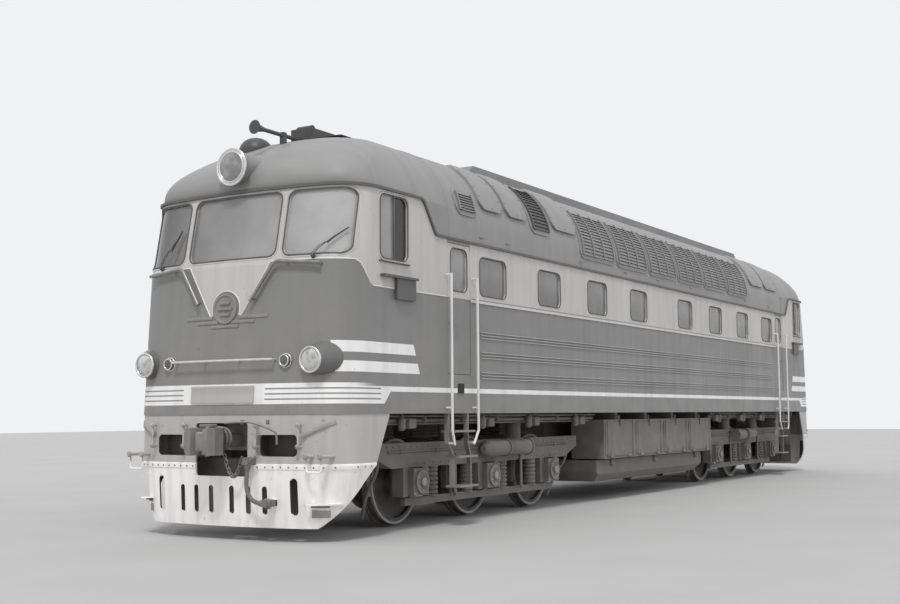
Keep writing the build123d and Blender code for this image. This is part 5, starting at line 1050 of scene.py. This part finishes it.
gaskets, rims = [], []
for low_y, high_y in PANES:
    for spread, proud, radius, store in ((0.006, 0.001, 0.009, gaskets), (0.030, -0.002, 0.007, rims)):
        edge = outline(low_y, high_y, PANE_LOW, PANE_HIGH, PANE_CORNER, spread)
        store.append(pipe([on_nose(y, z, proud) for y, z in edge], radius, closed=True))
for spread, radius, store in ((0.005, 0.008, gaskets), (0.036, 0.009, rims)):
    edge = outline(*CAB_WINDOW, PANE_CORNER, spread)
    side_ring = pipe([(x, SIDE_Y + 0.001, z) for x, z in edge], radius, closed=True)
    store += [side_ring, twin(side_ring, flip=True)]
fit(both_ends(*gaskets), "cab_window_gaskets", "rubber")
fit(both_ends(*rims), "cab_window_rims", "body")

edge = outline(*BODY_WINDOW, PANE_CORNER, spread=0.004)
window_gasket = pipe([(x, 0, z) for x, z in edge], 0.008, closed=True)
places = [Matrix.Translation((x, SIDE_Y + 0.001, 0)) for x in BODY_WINDOW_XS]
fit(both_sides(strewn(window_gasket, places)), "body_window_gaskets", "rubber")

edge = outline(*DOOR_WINDOW, PANE_CORNER, spread=0.004)
door_gasket = pipe([(x, DOOR_SKIN_Y, z) for x, z in edge], 0.008, closed=True)
for end, half_turn in (("front", False), ("rear", True)):
    for side, flip in (("left", False), ("right", True)):
        # Turned half round, the left side becomes the right one
        copy = twin(door_gasket, half_turn=half_turn, flip=flip != half_turn)
        fit(copy, f"{end}_{side}_door_gasket", "rubber", f"{end}_{side}_door")
discard(door_gasket)
print("gaskets:", sum(triangles.values()), "triangles")

# %% [markdown]
# ## Bright beads on the nose
#
# A thin bead of bright metal covers the border of the two paints: it runs round the front at the
# foot of the windshields, dips down both edges of the vee and passes over the round badge in an
# arch. It is drawn as one pipe through places on the skin, half sunk into it, so only a half-round
# shows. The border itself is paint, so the bead only has to follow the same numbers.

# %% The bead along the border and over the badge
BEAD = 0.009
BELT_BEAD_REAR_X, BELT_BEAD = 7.17, 0.008


def vee_y(z):
    """How far out the edge of the vee lies at a height."""
    return VEE_BOTTOM_Y + VEE_SPREAD * (z - VEE_BOTTOM_Z)


def bead_points():
    """The left half of the bead, from the side of the body to the foot of the vee."""
    points = []
    for share in evenly(0, 1, 6):
        x = NOSE_EDGE_REAR_X + (NOSE_EDGE_FRONT_X - NOSE_EDGE_REAR_X) * share
        rise = share * share * (3 - 2 * share)
        z = BELT_EDGE_Z + (NOSE_EDGE_Z - BELT_EDGE_Z) * rise
        points.append(landed("front_cab", (x, SIDE_Y + FAR_Y, z), (0, -1, 0)))
    points += [round_nose(angle, NOSE_EDGE_Z) for angle in range(76, 46, -3)]
    points += [on_nose(y, NOSE_EDGE_Z) for y in evenly(points[-1].y, vee_y(NOSE_EDGE_Z), 9)[1:]]
    points += [on_nose(vee_y(z), z) for z in evenly(NOSE_EDGE_Z, VEE_FOOT_Z, 13)[1:]]
    return points


left_half = bead_points()
arch = []
for angle in evenly(math.radians(-20), math.radians(200), 21):
    arch.append(on_nose(ARCH_RADIUS * math.cos(angle), BADGE_Z + ARCH_RADIUS * math.sin(angle)))
nose_bead = pipe(left_half + arch + mirrored(left_half), BEAD)
belt_bead = pipe([(x, SIDE_Y, BELT_EDGE_Z) for x in (BELT_BEAD_REAR_X, NOSE_EDGE_REAR_X)], BELT_BEAD)
fit(both_ends(nose_bead, belt_bead, twin(belt_bead, flip=True)), "nose_beads", "rail")

# %% [markdown]
# ## The badge, left plain
#
# On the vee sits a round plate with a raised rim. It is kept generic: three plain bars lie on the
# plate, and flat bars, shorter from row to row, stand below it on the nose. The plate is turned, its
# bars are blocks with broken edges, and the flat bars are straps that follow the bow of the sheet.

# %% Round plate and plain bars
BADGE = (
    (0, 0.170), (0.026, BADGE_RADIUS), (0.034, 0.168), (0.034, 0.150), (0.024, 0.144), (0.022, 0.05)
)
BADGE_BARS = ((0.066, 0.070), (0.0, 0.105), (-0.066, 0.070))  # height and half length
FLAT_BARS = ((0.19, 0.60, 2.478, 0.021), (0.10, 0.42, 2.424, 0.019), (0.0, 0.20, 2.374, 0.019))

badge_front = on_nose(0, BADGE_Z).x
badge = [turned((badge_front - 0.01, 0, BADGE_Z), AHEAD, BADGE, sides=48)]
for z, half in BADGE_BARS:
    badge.append(block((badge_front + 0.019, 0, BADGE_Z + z), (0.022, 2 * half, 0.034)))
fit(both_ends(*badge), "nose_badge", "badge")

bars = []
for low_y, high_y, z, half_height in FLAT_BARS:
    line = [on_nose(y, z, 0.003) for y in evenly(low_y, high_y, 7)]
    if low_y:
        bars += [strap(line, half_height, 0.007), strap(mirrored(line), half_height, 0.007)]
    else:
        bars.append(strap(mirrored(line) + line[1:], half_height, 0.007))
fit(both_ends(*bars), "badge_bars", "badge")

# %% [markdown]
# ## Lamps
#
# A lamp is a bowl with a bright reflector behind a bulged lens, held by a plated ring. Making the
# glass really clear would show the flat end of the solid housing, so the lens is a closed turned
# form with a painted reflection: pale where the reflector throws light back, fluted from side to
# side with painted highlights on the flutes.
# The rings are beads about the lamp's axis, the big roof lamp having two of them. Behind each of
# the lower lamps an egg-shaped fairing leads back into the nose, one turned form half sunk in it.

# %% Rings and lenses
ROOF_LAMP = Vector((9.36, 0, 4.225))
LAMP_X, LAMP_Y, LAMP_Z, MARKER_Y = 9.45, 1.226, 1.97, 0.86
ROOF_LAMP_FLANGE = ((0, 0.206), (0.004, 0.206), (0.005, 0.17))
ROOF_LENS = ((-0.002, 0.168), (0.008, 0.168), (0.014, 0.150), (0.020, 0.110), (0.024, 0.060), (0.025, 0.01))
LENS = ((-0.002, 0.126), (0.010, 0.124), (0.022, 0.108), (0.034, 0.080), (0.042, 0.045), (0.045, 0.01))
MARKER_LENS = ((-0.002, 0.054), (0.002, 0.052), (0.006, 0.036), (0.008, 0.006))
FAIRING = (
    (0, 0.138), (0.030, 0.149), (0.080, 0.169), (0.130, 0.188), (0.180, 0.200), (0.240, 0.204),
    (0.300, 0.196), (0.360, 0.170), (0.410, 0.130), (0.445, 0.082), (0.465, 0.030),
)


def ahead_of(place, distance, y=0.0, z=0.0):
    """A place a little ahead of another one, and beside or above it."""
    return place + Vector((distance, y, z))


rings = [
    ring(ahead_of(ROOF_LAMP, -0.002), AHEAD, 0.209, 0.016, 0.8),
    ring(ahead_of(ROOF_LAMP, 0.004), AHEAD, 0.176, 0.011, 0.9),
    turned(ahead_of(ROOF_LAMP, -0.001), AHEAD, ROOF_LAMP_FLANGE, sides=48),
]
roof_lens = turned(ROOF_LAMP, AHEAD, ROOF_LENS, sides=48)
screws = [facing(ahead_of(ROOF_LAMP, 0.004, y, z), AHEAD) for y, z in circle(0.193, 6, 30)]
lenses, marker_lenses, fairings = [], [], []
for side in SIDES:
    lamp = Vector((LAMP_X, side * LAMP_Y, LAMP_Z))
    fairings.append(turned(ahead_of(lamp, -0.006), (-1, side * 0.17, 0.08), FAIRING, sides=40))
    rings.append(ring(ahead_of(lamp, 0.008), AHEAD, 0.134, 0.015, 1.1))
    lenses.append(turned(lamp, AHEAD, LENS, sides=40))
    screws += [facing(ahead_of(lamp, 0.006, y, z), AHEAD) for y, z in circle(0.141, 4, 45)]
    marker = from_ahead("lower_lamps", side * MARKER_Y, LAMP_Z)
    rings.append(ring(ahead_of(marker, 0.001), AHEAD, 0.060, 0.009))
    rings.append(ring(ahead_of(marker, -0.034), AHEAD, 0.074, 0.010))
    marker_lenses.append(turned(marker, AHEAD, MARKER_LENS, sides=24))
fit(both_ends(*rings), "lamp_rings", "chrome")
fit(both_ends(*lenses), "lamp_lenses", "lens")
fit(both_ends(*marker_lenses), "marker_lamp_lenses", "marker_lens")
fit(both_ends(*fairings), "lamp_fairings", "lamp_case")
fit(both_ends(roof_lens), "roof_lamp_lenses", "roof_lens")
fit(both_ends(strewn(rivet(0.006), screws)), "lamp_screws", "chrome")

# %% [markdown]
# ## The ribbed plate on the white band
#
# In the middle of the band sits a shallow plate of upright ribs. A grid wrapped onto the bowed
# skin and given a thickness makes its sheet; the ribs are one short half-round rod, copied along
# the bow.

# %% Plate
PLATE_HALF, PLATE_LOW, PLATE_HIGH, PLATE_RIM = 0.46, 1.512, 1.702, 0.014
RIB_COUNT, RIB_END_Y, RIB_PROUD = 43, 0.441, 0.0155
bpy.ops.object.select_all(action="DESELECT")
bpy.ops.mesh.primitive_grid_add(
    x_subdivisions=3, y_subdivisions=24, size=1, location=(9.8, 0, (PLATE_LOW + PLATE_HIGH) / 2)
)
sheet = bpy.context.object
sheet.rotation_euler = (0, math.radians(90), 0)
sheet.scale = (PLATE_HIGH - PLATE_LOW, 2 * PLATE_HALF, 1)
bpy.ops.object.transform_apply(location=True, rotation=True, scale=True)
wrap = sheet.modifiers.new("wrap", "SHRINKWRAP")
wrap.target = nodes["front_cab"]
wrap.wrap_method = "PROJECT"
wrap.use_project_x = True
wrap.use_negative_direction = True
wrap.use_positive_direction = True
wrap.offset = 0.012
bpy.ops.object.modifier_apply(modifier="wrap")
wall = sheet.modifiers.new("wall", "SOLIDIFY")
wall.thickness = 0.014
wall.offset = 0
bpy.ops.object.modifier_apply(modifier="wall")
face_outward()
settle(sheet)
rib = pipe([(0, 0, PLATE_LOW + PLATE_RIM), (0, 0, PLATE_HIGH - PLATE_RIM)], 0.005)
ribs = []
for y in evenly(-RIB_END_Y, RIB_END_Y, RIB_COUNT):
    ribs.append(Matrix.Translation((on_nose(y, 1.6, RIB_PROUD).x, y, 0)))
fit(both_ends(sheet, strewn(rib, ribs)), "ribbed_plate", "plate")

# %% [markdown]
# ## Wipers
#
# A wiper is a turned pivot on the sill of the pane, a thin arm with a spring, and a blade of rubber
# in a bent channel. The arm stands off the glass and only the blade comes near it, so three points
# away from the pane carry the arm.

# %% Wipers on the outer panes
WIPERS = ((1.143, 3.112, 1.455, 3.435), (-1.100, 3.112, -0.830, 3.560))
WIPER_PIVOT = ((0, 0.026), (0.02, 0.026), (0.045, 0.017), (0.062, 0.015), (0.066, 0.008))
BELOW_PANE_Z, ABOVE_PANE_Z = 3.125, 3.910
arms, blades = [], []


def on_pane(y, z):
    """A place on the plane of the glass, worked out from the sheet below and above the pane."""
    low, high = on_nose(y, BELOW_PANE_Z), on_nose(y, ABOVE_PANE_Z)
    return low.lerp(high, (z - BELOW_PANE_Z) / (ABOVE_PANE_Z - BELOW_PANE_Z))


for pivot_y, pivot_z, tip_y, tip_z in WIPERS:
    pivot = on_nose(pivot_y, pivot_z)
    away = (on_nose(pivot_y, pivot_z, 1.0) - pivot).normalized()
    first, second, third, tip = (
        on_pane(pivot_y + (tip_y - pivot_y) * share, pivot_z + (tip_z - pivot_z) * share)
        for share in (0.25, 0.45, 0.7, 1.0)
    )
    lift = Vector((0, 0, 0.022))
    arms.append(turned(pivot - 0.01 * away, away, WIPER_PIVOT, sides=16))
    arms.append(pipe([pivot + 0.045 * away, first + 0.055 * away, third + 0.030 * away], 0.0065))
    spring = [pivot + 0.055 * away + lift, first + 0.062 * away + lift, second + 0.050 * away]
    arms.append(pipe(spring, 0.004))
    arms.append(pipe([second + 0.020 * away, third + 0.026 * away, tip + 0.020 * away], 0.0055))
    blades.append(pipe([place + 0.012 * away for place in (second, third, tip)], 0.0075))
fit(both_ends(*arms), "wiper_arms", "dark_trim")
fit(both_ends(*blades), "wiper_blades", "rubber")
print("front pieces:", sum(triangles.values()), "triangles")

# %% [markdown]
# ## Rivets, bosses, levers and corner steps of the pilot
#
# The pilot is thin plate on a frame, held by a row of round rivets along the white strip. They
# stand square on a curved plate, so each is shot at the plate from outside and turned to the
# direction in which the plate faces. Bosses carry the hooks and stirrups, a flat lever slopes over
# each outer corner, and the step low at each corner has a panel and an edge that bend with it.

# %% Fittings of the pilot
RIVET_ROW_Z, RIVET_ROW_YS, RIVET_SIDE_XS = 0.808, evenly(0.42, 1.42, 11), (8.78, 8.90, 9.02)
BOSS_PLACES = ((0.53, 1.27), (0.53, 1.03), (1.07, 1.27), (1.07, 1.03), (1.205, 0.93), (1.40, 0.93))
BOSS = ((-0.003, 0.034), (0.007, 0.034), (0.012, 0.024), (0.020, 0.022))
LEVER_PLACES = tuple(zip(evenly(1.06, 1.42, 5), evenly(1.135, 1.300, 5)))
CORNER_STEP_YS, CORNER_STEP_Z = evenly(1.165, 1.325, 5), 0.405

heads = [seat_ahead("front_pilot", side * y, RIVET_ROW_Z) for y in RIVET_ROW_YS for side in SIDES]
heads += [seat_beside("front_pilot", x, RIVET_ROW_Z, side) for x in RIVET_SIDE_XS for side in SIDES]
fit(both_ends(strewn(rivet(0.010), heads)), "pilot_rivets", "steel")

bosses = [seat_ahead("front_pilot", side * y, z) for y, z in BOSS_PLACES for side in SIDES]
boss = turned((0, 0, 0), UPWARD, BOSS, sides=20)
fit(both_ends(strewn(boss, bosses)), "pilot_bosses", "bright_gear")


def pilot_straps(places, proud, half_height, half_thickness):
    """A flat bar through places on the front of the pilot, on both sides."""
    straps = []
    for side in SIDES:
        line = [from_ahead("front_pilot", side * y, z, proud) for y, z in places]
        straps.append(strap(line, half_height, half_thickness))
    return both_ends(*straps)


fit(pilot_straps(LEVER_PLACES, 0.006, 0.024, 0.006), "pilot_levers", "bright_gear")
panel_line = [(y, CORNER_STEP_Z - 0.075) for y in CORNER_STEP_YS]
fit(pilot_straps(panel_line, 0.001, 0.062, 0.003), "corner_step_panels", "bright_gear")
edge_line = [(y, CORNER_STEP_Z - 0.014) for y in CORNER_STEP_YS]
fit(pilot_straps(edge_line, 0.012, 0.011, 0.010), "corner_step_edges", "gear")
print("pilot heads:", len(heads), "bosses:", len(bosses))

# %% [markdown]
# ## The coupler's jaw, its lever and the chain
#
# The solid gives the coupler its head and shank. The knuckle that swings in it, the lock under it,
# the lifting rod across the pilot and the safety chain are forgings of their own, so each is turned
# or bent here and set into the head. The chain is one link copied along its sag, every second link
# turned a quarter.

# %% Knuckle, lock and lifting rod
KNUCKLE_PIN = ((0, 0.052), (0.01, 0.058), (0.26, 0.058), (0.27, 0.052))
LOCK_PIN = ((0, 0.020), (0.32, 0.020), (0.33, 0.014))
ROD_BEND, HANDLE_TOP = (9.61, 0.62, 1.300), (9.61, 0.88, 1.190)
CHAIN_START_Y, CHAIN_START_Z, CHAIN_SPAN, CHAIN_DROP, CHAIN_SAG = 0.16, 0.925, 0.24, 0.03, 0.20
LINK_COUNT, LINK_STRETCH = 13, 1.45

jaw = [
    turned((9.835, 0.115, 0.955), UPWARD, KNUCKLE_PIN, sides=24),
    block((9.800, 0.150, 1.090), (0.120, 0.070, 0.230), 0.018, steps=3),
    block((9.872, 0.045, 1.090), (0.050, 0.120, 0.210), 0.020, steps=3),
    turned((9.835, 0.115, 0.925), UPWARD, LOCK_PIN, sides=12),
]
horn = [
    block((9.838, -0.145, 1.090), (0.110, 0.085, 0.250), 0.022, steps=3),
    block((9.780, -0.080, 1.175), (0.060, 0.090, 0.050), 0.014),
    block((9.780, -0.080, 1.005), (0.060, 0.090, 0.050), 0.014),
    block((9.700, 0.000, 1.262), (0.110, 0.180, 0.034), 0.010),
]
neck = [ring((x, 0, 1.120), AHEAD, 0.120, 0.016, 0.8) for x in (9.46, 9.52)]
fit(both_ends(*jaw, *horn, *neck), "coupler_jaws", "coupler")

rod = pipe([(9.66, 0.20, 1.285), (9.62, 0.30, 1.300), ROD_BEND, HANDLE_TOP], 0.011, kind="NURBS")
handle = pipe([HANDLE_TOP, (9.612, 0.90, 1.130), (9.612, 0.90, 1.060)], 0.012)
brackets = [block((9.595, y, 1.300), (0.040, 0.024, 0.050)) for y in (0.40, 0.76)]
fit(both_ends(rod, handle, *brackets), "lifting_rods", "steel")

link = ring((0, 0, 0), AHEAD, 0.021, 0.0055)
alone(link)
stretch(link, (1, 1, LINK_STRETCH))
links = []
for i, share in enumerate(evenly(0, 1, LINK_COUNT)):
    y = CHAIN_START_Y + CHAIN_SPAN * share
    z = CHAIN_START_Z - CHAIN_DROP * share - CHAIN_SAG * (1 - (2 * share - 1) ** 2)
    slope = 4 * CHAIN_SAG * (2 * share - 1) - CHAIN_DROP
    turn = Vector((0, CHAIN_SPAN, slope)).to_track_quat("Z", "X").to_matrix().to_4x4()
    quarter = Matrix.Rotation(math.radians(90 * (i % 2)), 4, "Z")
    links.append(Matrix.Translation((9.60, y, z)) @ turn @ quarter)
fit(both_ends(strewn(link, links)), "coupler_chains", "gear")
print("coupler made")

# %% [markdown]
# ## Air cocks over the hoses
#
# Each hose hangs from an angle cock on the end of the brake pipe. It is a cast elbow with a turned
# plug and a flat handle, and the pipe behind it disappears through the pilot.

# %% Cocks
COCK_BASE = ((0, 0.030), (0.020, 0.034), (0.060, 0.034), (0.075, 0.026))
COCK_BODY = ((0, 0.026), (0.030, 0.030), (0.070, 0.030), (0.090, 0.020))
COCK_PLUG = ((0, 0.016), (0.010, 0.022), (0.085, 0.022), (0.092, 0.012))

cock = [
    turned((9.565, 0.450, 0.830), UPWARD, COCK_BASE, sides=20),
    turned((9.500, 0.450, 0.880), AHEAD, COCK_BODY, sides=20),
    turned((9.565, 0.410, 0.880), ASIDE, COCK_PLUG, sides=16),
    block((9.567, 0.520, 0.905), (0.012, 0.110, 0.022), 0.004, turn=(math.radians(24), 0, 0)),
]
fit(both_ends(*cock), "air_cocks", "steel")

# %% [markdown]
# ## What stands in the dark behind the pilot and over the bogies
#
# Without it the eye would look through the pilot's slots and over the bogies at the yard beyond. On
# the real vehicle cross walls with ribs brace the pilot, and cooling air reaches every traction
# motor through a ribbed canvas duct that leaves the bogie free to swing. The ducts hang from the
# body a little above the motors, narrower than the space between the wheels. Air pipes run along
# the sole beam in clamps, and the valves that they feed hang beside them.

# %% Cross walls, motor ducts, pipe runs and air valves
DUCT_OFFSETS, FOLD_HEIGHTS = (1.75, 0.62, -1.75), evenly(1.0875, 1.3125, 6)
PIPES = ((1.330, 1.300, 0.021), (1.270, 1.262, 0.015), (1.375, 1.352, 0.012))
PIPE_END_X = 8.38
CLAMP_XS = (2.9, 3.8, 4.7, 5.6, 6.5, 7.4, 8.2)
VALVE_XS, VALVE_Y = (3.05, 4.55, 5.85, 7.75), 1.400
VALVE = ((0, 0.020), (0.02, 0.044), (0.13, 0.050), (0.16, 0.030), (0.20, 0.014))

wall = [
    block((8.470, 0, 0.955), (0.012, 2.60, 0.66), 0.003),
    block((8.490, 0, 1.275), (0.060, 2.60, 0.014), 0.004),
    block((8.490, 0, 0.635), (0.060, 2.60, 0.014), 0.004),
]
for y in (-1.1, -0.7, -0.3, 0.3, 0.7, 1.1):
    wall.append(block((8.500, y, 0.955), (0.055, 0.014, 0.62), 0.003))
wall += [block((8.800, side * 0.62, 1.00), (0.60, 0.016, 0.10), 0.004) for side in SIDES]
wall += [
    block((9.110, 0, 0.545), (0.010, 2.24, 0.69), 0.003),
    block((9.090, 0, 0.880), (0.050, 2.24, 0.012), 0.004),
]
wall += [block((9.085, y, 0.56), (0.045, 0.012, 0.62), 0.003) for y in evenly(-0.9, 0.9, 5)]
fit(both_ends(*wall), "pilot_bracing", "gear")

folds = []
for offset in DUCT_OFFSETS:
    for z in FOLD_HEIGHTS:
        folds.append(block((PIVOT_X + offset, 0, z), (0.70, 1.14, 0.050), 0.020, steps=3))
fit(both_ends(*folds), "motor_ducts", "rubber")

runs, clamps, valves = [], [], []
for sign, start_x, shift in ((1, 2.50, 0.0), (-1, 2.80, 0.1)):
    for y, z, radius in PIPES:
        runs.append(pipe([(sign * x, y, z) for x in (start_x, PIPE_END_X)], radius, fineness=2))
    for x in CLAMP_XS:
        clamps.append(block((sign * (x + shift), 1.320, 1.310), (0.035, 0.150, 0.090), 0.010))
    for x in VALVE_XS:
        valves.append(block((sign * x, 1.395, 1.265), (0.150, 0.090, 0.120), 0.016, steps=3))
        valves.append(turned((sign * (x + 0.19), VALVE_Y, 1.180), UPWARD, VALVE, sides=20))
        branch = [(sign * (x + 0.19), VALVE_Y, 1.30), (sign * (x + 0.05), VALVE_Y, 1.32)]
        valves.append(pipe(branch, 0.012))
fit(both_sides(*runs, *clamps), "pipe_runs", "gear")
fit(both_sides(*valves), "air_valves", "steel")
print("dark structure made")

# %% [markdown]
# ## Fittings of the bogies
#
# A bogie reads by its small bright things: bolted covers on the axle boxes, heads along the frame,
# brake levers between the wheels, sand pipes that end just above the rails. One side of the front
# bogie is made, then copied to the other side and, turned half round, to the rear bogie, so each
# piece rides on its own bogie.

# %% One side of one bogie
AXLE_XS = tuple(PIVOT_X + AXLE_PITCH * i for i in (1, 0, -1))
BOX_CORNERS = ((-0.145, 0.14), (0.145, 0.14), (-0.145, -0.14), (0.145, -0.14))
BOX_CAP = ((0, 0.050), (0.008, 0.052), (0.016, 0.044), (0.020, 0.014))
FRAME_ROWS = ((0.985, evenly(3.05, 7.90, 38)), (0.775, evenly(3.45, 7.45, 22)))
LEVER_ROD_Z, LEVER_Y = 0.925, 1.165
UPPER_PIN = ((0, 0.034), (0.030, 0.034), (0.040, 0.026))
LOWER_PIN = ((0, 0.030), (0.030, 0.030), (0.040, 0.022))
SAND_VALVE = ((0, 0.028), (0.012, 0.034), (0.050, 0.034), (0.062, 0.028))

cover_bolts, box_trim = [], []
for x in AXLE_XS:
    for dx, dz in (*circle(0.108, 6, 30), *BOX_CORNERS):
        cover_bolts.append(seat_beside("front_axle_boxes", x + dx, AXLE_Z + dz))
    box_trim.append(ring((x, 1.268, AXLE_Z), ASIDE, 0.132, 0.006))
    box_trim.append(turned((x, 1.284, AXLE_Z), ASIDE, BOX_CAP, sides=24))
box_trim = joined([strewn(bolt(0.012), cover_bolts), *box_trim])

frame_heads = [seat_beside("front_bogie_frame", x, z) for z, row in FRAME_ROWS for x in row]
frame_trim = [strewn(rivet(0.013), frame_heads)]
frame_trim.append(pipe([(3.10, 1.180, LEVER_ROD_Z), (7.90, 1.180, LEVER_ROD_Z)], 0.011))
for x in (3.5, 4.4, 5.2, 6.0, 6.8, 7.6):
    frame_trim.append(block((x, 1.170, LEVER_ROD_Z), (0.030, 0.030, 0.050)))
for x in (PIVOT_X - 0.9, PIVOT_X + 0.9):
    frame_trim.append(block((x, 1.178, 0.600), (0.060, 0.018, 0.560)))
    frame_trim.append(turned((x, LEVER_Y, 0.845), ASIDE, UPPER_PIN, sides=20))
    frame_trim.append(turned((x, LEVER_Y, 0.360), ASIDE, LOWER_PIN, sides=20))
frame_trim = joined(frame_trim)

sand = []
for x, lean in ((8.00, -1), (2.94, 1)):
    route = [(x, 1.12, 1.02), (x, 1.12, 0.72), (x + lean * 0.03, 0.90, 0.45), (x + lean * 0.10, 0.80, 0.13)]
    sand.append(pipe(route, 0.020, kind="NURBS"))
    sand.append(turned((x, 1.12, 0.93), UPWARD, SAND_VALVE, sides=16))
sand = joined(sand)

SIDES_OF_BOGIES = (
    ("front_left", "front_bogie", False, False),
    ("front_right", "front_bogie", False, True),
    ("rear_right", "rear_bogie", True, False),
    ("rear_left", "rear_bogie", True, True),
)
BOGIE_PIECES = (
    (box_trim, "box_covers", "bright_gear"),
    (frame_trim, "frame_heads", "steel"),
    (sand, "sand_pipes", "gear"),
)
for model, word, finish in BOGIE_PIECES:
    for side, body, half_turn, flip in SIDES_OF_BOGIES:
        fit(twin(model, half_turn=half_turn, flip=flip), f"{side}_{word}", finish, body)
    discard(model)
print("bogie fittings:", len(frame_heads) + len(cover_bolts), "heads a side")

# %% [markdown]
# ## Battery boxes and tank
#
# The doors of the battery boxes hang on hinges at the foot and are held by a latch at the top, over
# which a lifting eye is welded. Upright strips cover the joints of their sheets. The tank has three
# fillers with caps on each side.

# %% Hinges, latches, eyes, strips and fillers
BOX_LOW_X, BOX_HIGH_X, BOX_DOORS = -2.60, 2.32, 4
BOX_Y, HINGE_Z = 1.468, 0.690
FILLER = ((0, 0.040), (0.05, 0.040), (0.052, 0.052), (0.074, 0.052), (0.080, 0.040))

half_door = (BOX_HIGH_X - BOX_LOW_X) / BOX_DOORS / 2
fittings = []
for middle in evenly(BOX_LOW_X + half_door, BOX_HIGH_X - half_door, BOX_DOORS):
    for x in (middle - 0.36, middle + 0.36):
        fittings.append(pipe([(x - 0.06, BOX_Y, HINGE_Z), (x + 0.06, BOX_Y, HINGE_Z)], 0.014, fineness=2))
        fittings.append(block((x, BOX_Y, HINGE_Z + 0.045), (0.070, 0.010, 0.080), 0.003))
    fittings.append(block((middle, 1.472, 1.215), (0.050, 0.024, 0.110)))
    fittings.append(ring((middle, 1.440, 1.300), ASIDE, 0.030, 0.009))
    for x in (middle - 0.50, middle + 0.50):
        fittings.append(block((x, 1.466, 0.970), (0.018, 0.014, 0.540), 0.003))
for x in (-2.0, 0.0, 1.8):
    fittings.append(turned((x, 1.30, 0.560), (0, 0.9, 0.45), FILLER, sides=20))
fit(both_sides(*fittings), "box_fittings", "steel")
print("boxes fitted")

# %% [markdown]
# ## Fittings of the side
#
# Below each door a foot hole sits in the skirt with a rolled edge; a dark plate on the skin is
# painted as the shade inside it. The cab's side window has the bar of its sliding sash and a
# narrow sill. Round heads run along the belt rib and the two edges of the side, where its sheets
# are joined to the frame.

# %% Foot holes, window bars and belt rivets
FOOT_HOLE = (-0.090, 0.090, 1.618, 1.754, 0.03)
RIVET_XS, RIVET_ZS = evenly(-6.45, 6.45, 64), (2.772, 1.420, 3.490)

holes, edges, bars = [], [], []
for sign in SIDES:
    x = sign * (DOOR_X - 0.02)
    # A dark plate on the skin, painted as the shade inside the foot hole
    holes.append(block((x, SIDE_Y, 1.686), (0.175, 0.008, 0.130), 0.003))
    edge = [(x + u, SIDE_Y + 0.002, z) for u, z in outline(*FOOT_HOLE)]
    edges.append(pipe(edge, 0.007, closed=True))
    bars.append(block((sign * SASH_X, 1.555, 3.515), (0.022, 0.014, 0.73), 0.004))
    bars.append(block((sign * 8.33, 1.575, 3.108), (0.62, 0.030, 0.014), 0.004))
fit(both_sides(*holes), "foot_holes", "hole_shade")
fit(both_sides(*edges), "foot_hole_rims", "body")
fit(both_sides(*bars), "window_bars", "dark_trim")

belt = [seat_beside("body_side_left", x, z) for x in RIVET_XS for z in RIVET_ZS]
fit(both_sides(strewn(rivet(0.007), belt)), "belt_rivets", "body")
print("side fitted:", len(belt), "heads a side")

# %% [markdown]
# ## Fittings of the roof
#
# Bent straps hold the long duct, lifting lugs stand along the edge of the roof, bolts run down both
# sides of every hatch, and a raised seam marks where the cab's roof meets the long one. All of it
# is shot at the curved roof from outside, so that it sits on the sheet.

# %% Duct straps, lugs, hatch bolts and seams
LUG_Z = 3.62
STRAP_XS, STRAP_YS = evenly(-6.75, 4.77, 13), (-0.58, -0.40, 0, 0.40, 0.58)
LUG_XS = (-6.2, -4.6, -1.4, 0.2, 1.6, 3.3, 5.6, 6.3)
LUG = ((-0.05, 0, 0.03), (-0.03, 0.025, 0.02), (0.03, 0.025, 0.02), (0.05, 0, 0.03))
HATCHES = ((5.69, 6.30), (4.99, 5.59), (3.40, 4.20), (-5.90, -5.00), (-6.90, -6.00))
HATCH_BOLT_ZS, HATCH_FOOT_Z, HATCH_MARGIN = (4.08, 4.21, 4.34, 4.47, 4.58), 4.075, 0.045
SEAM_X, SEAM_CENTRE_Z = 7.12, 3.80

straps = []
for x in STRAP_XS:
    line = [landed("roof_duct", (x, y, FAR_Z), (0, 0, -1), 0.002) for y in STRAP_YS]
    straps.append(pipe(line, 0.012))
fit(joined(straps), "duct_straps", "roof")

lugs = []
for x in LUG_XS:
    place = landed("engine_roof", (x, FAR_Y, LUG_Z), (0, -1, 0))
    lugs.append(pipe([place + Vector(corner) for corner in LUG], 0.009))
fit(both_sides(*lugs), "roof_lugs", "roof")

hatch_bolts = []
for low_x, high_x in HATCHES:
    for x in (low_x + HATCH_MARGIN, high_x - HATCH_MARGIN):
        hatch_bolts += [seat_beside("engine_roof", x, z) for z in HATCH_BOLT_ZS]
    hatch_bolts.append(seat_beside("engine_roof", (low_x + high_x) / 2, HATCH_FOOT_Z))
fit(both_sides(strewn(rivet(0.013), hatch_bolts)), "hatch_bolts", "roof")

seam = []
for angle in evenly(math.radians(-8), math.radians(188), 37):
    out = Vector((0, math.cos(angle), math.sin(angle)))
    seam.append(landed("engine_roof", Vector((SEAM_X, 0, SEAM_CENTRE_Z)) + FAR_Y * out, -out))
fit(both_ends(pipe(seam, 0.008)), "roof_seams", "roof")
print("roof fitted")

# %% Measure and finish
print("triangles in all:", sum(triangles.values()), "the most:", max(triangles.values()))
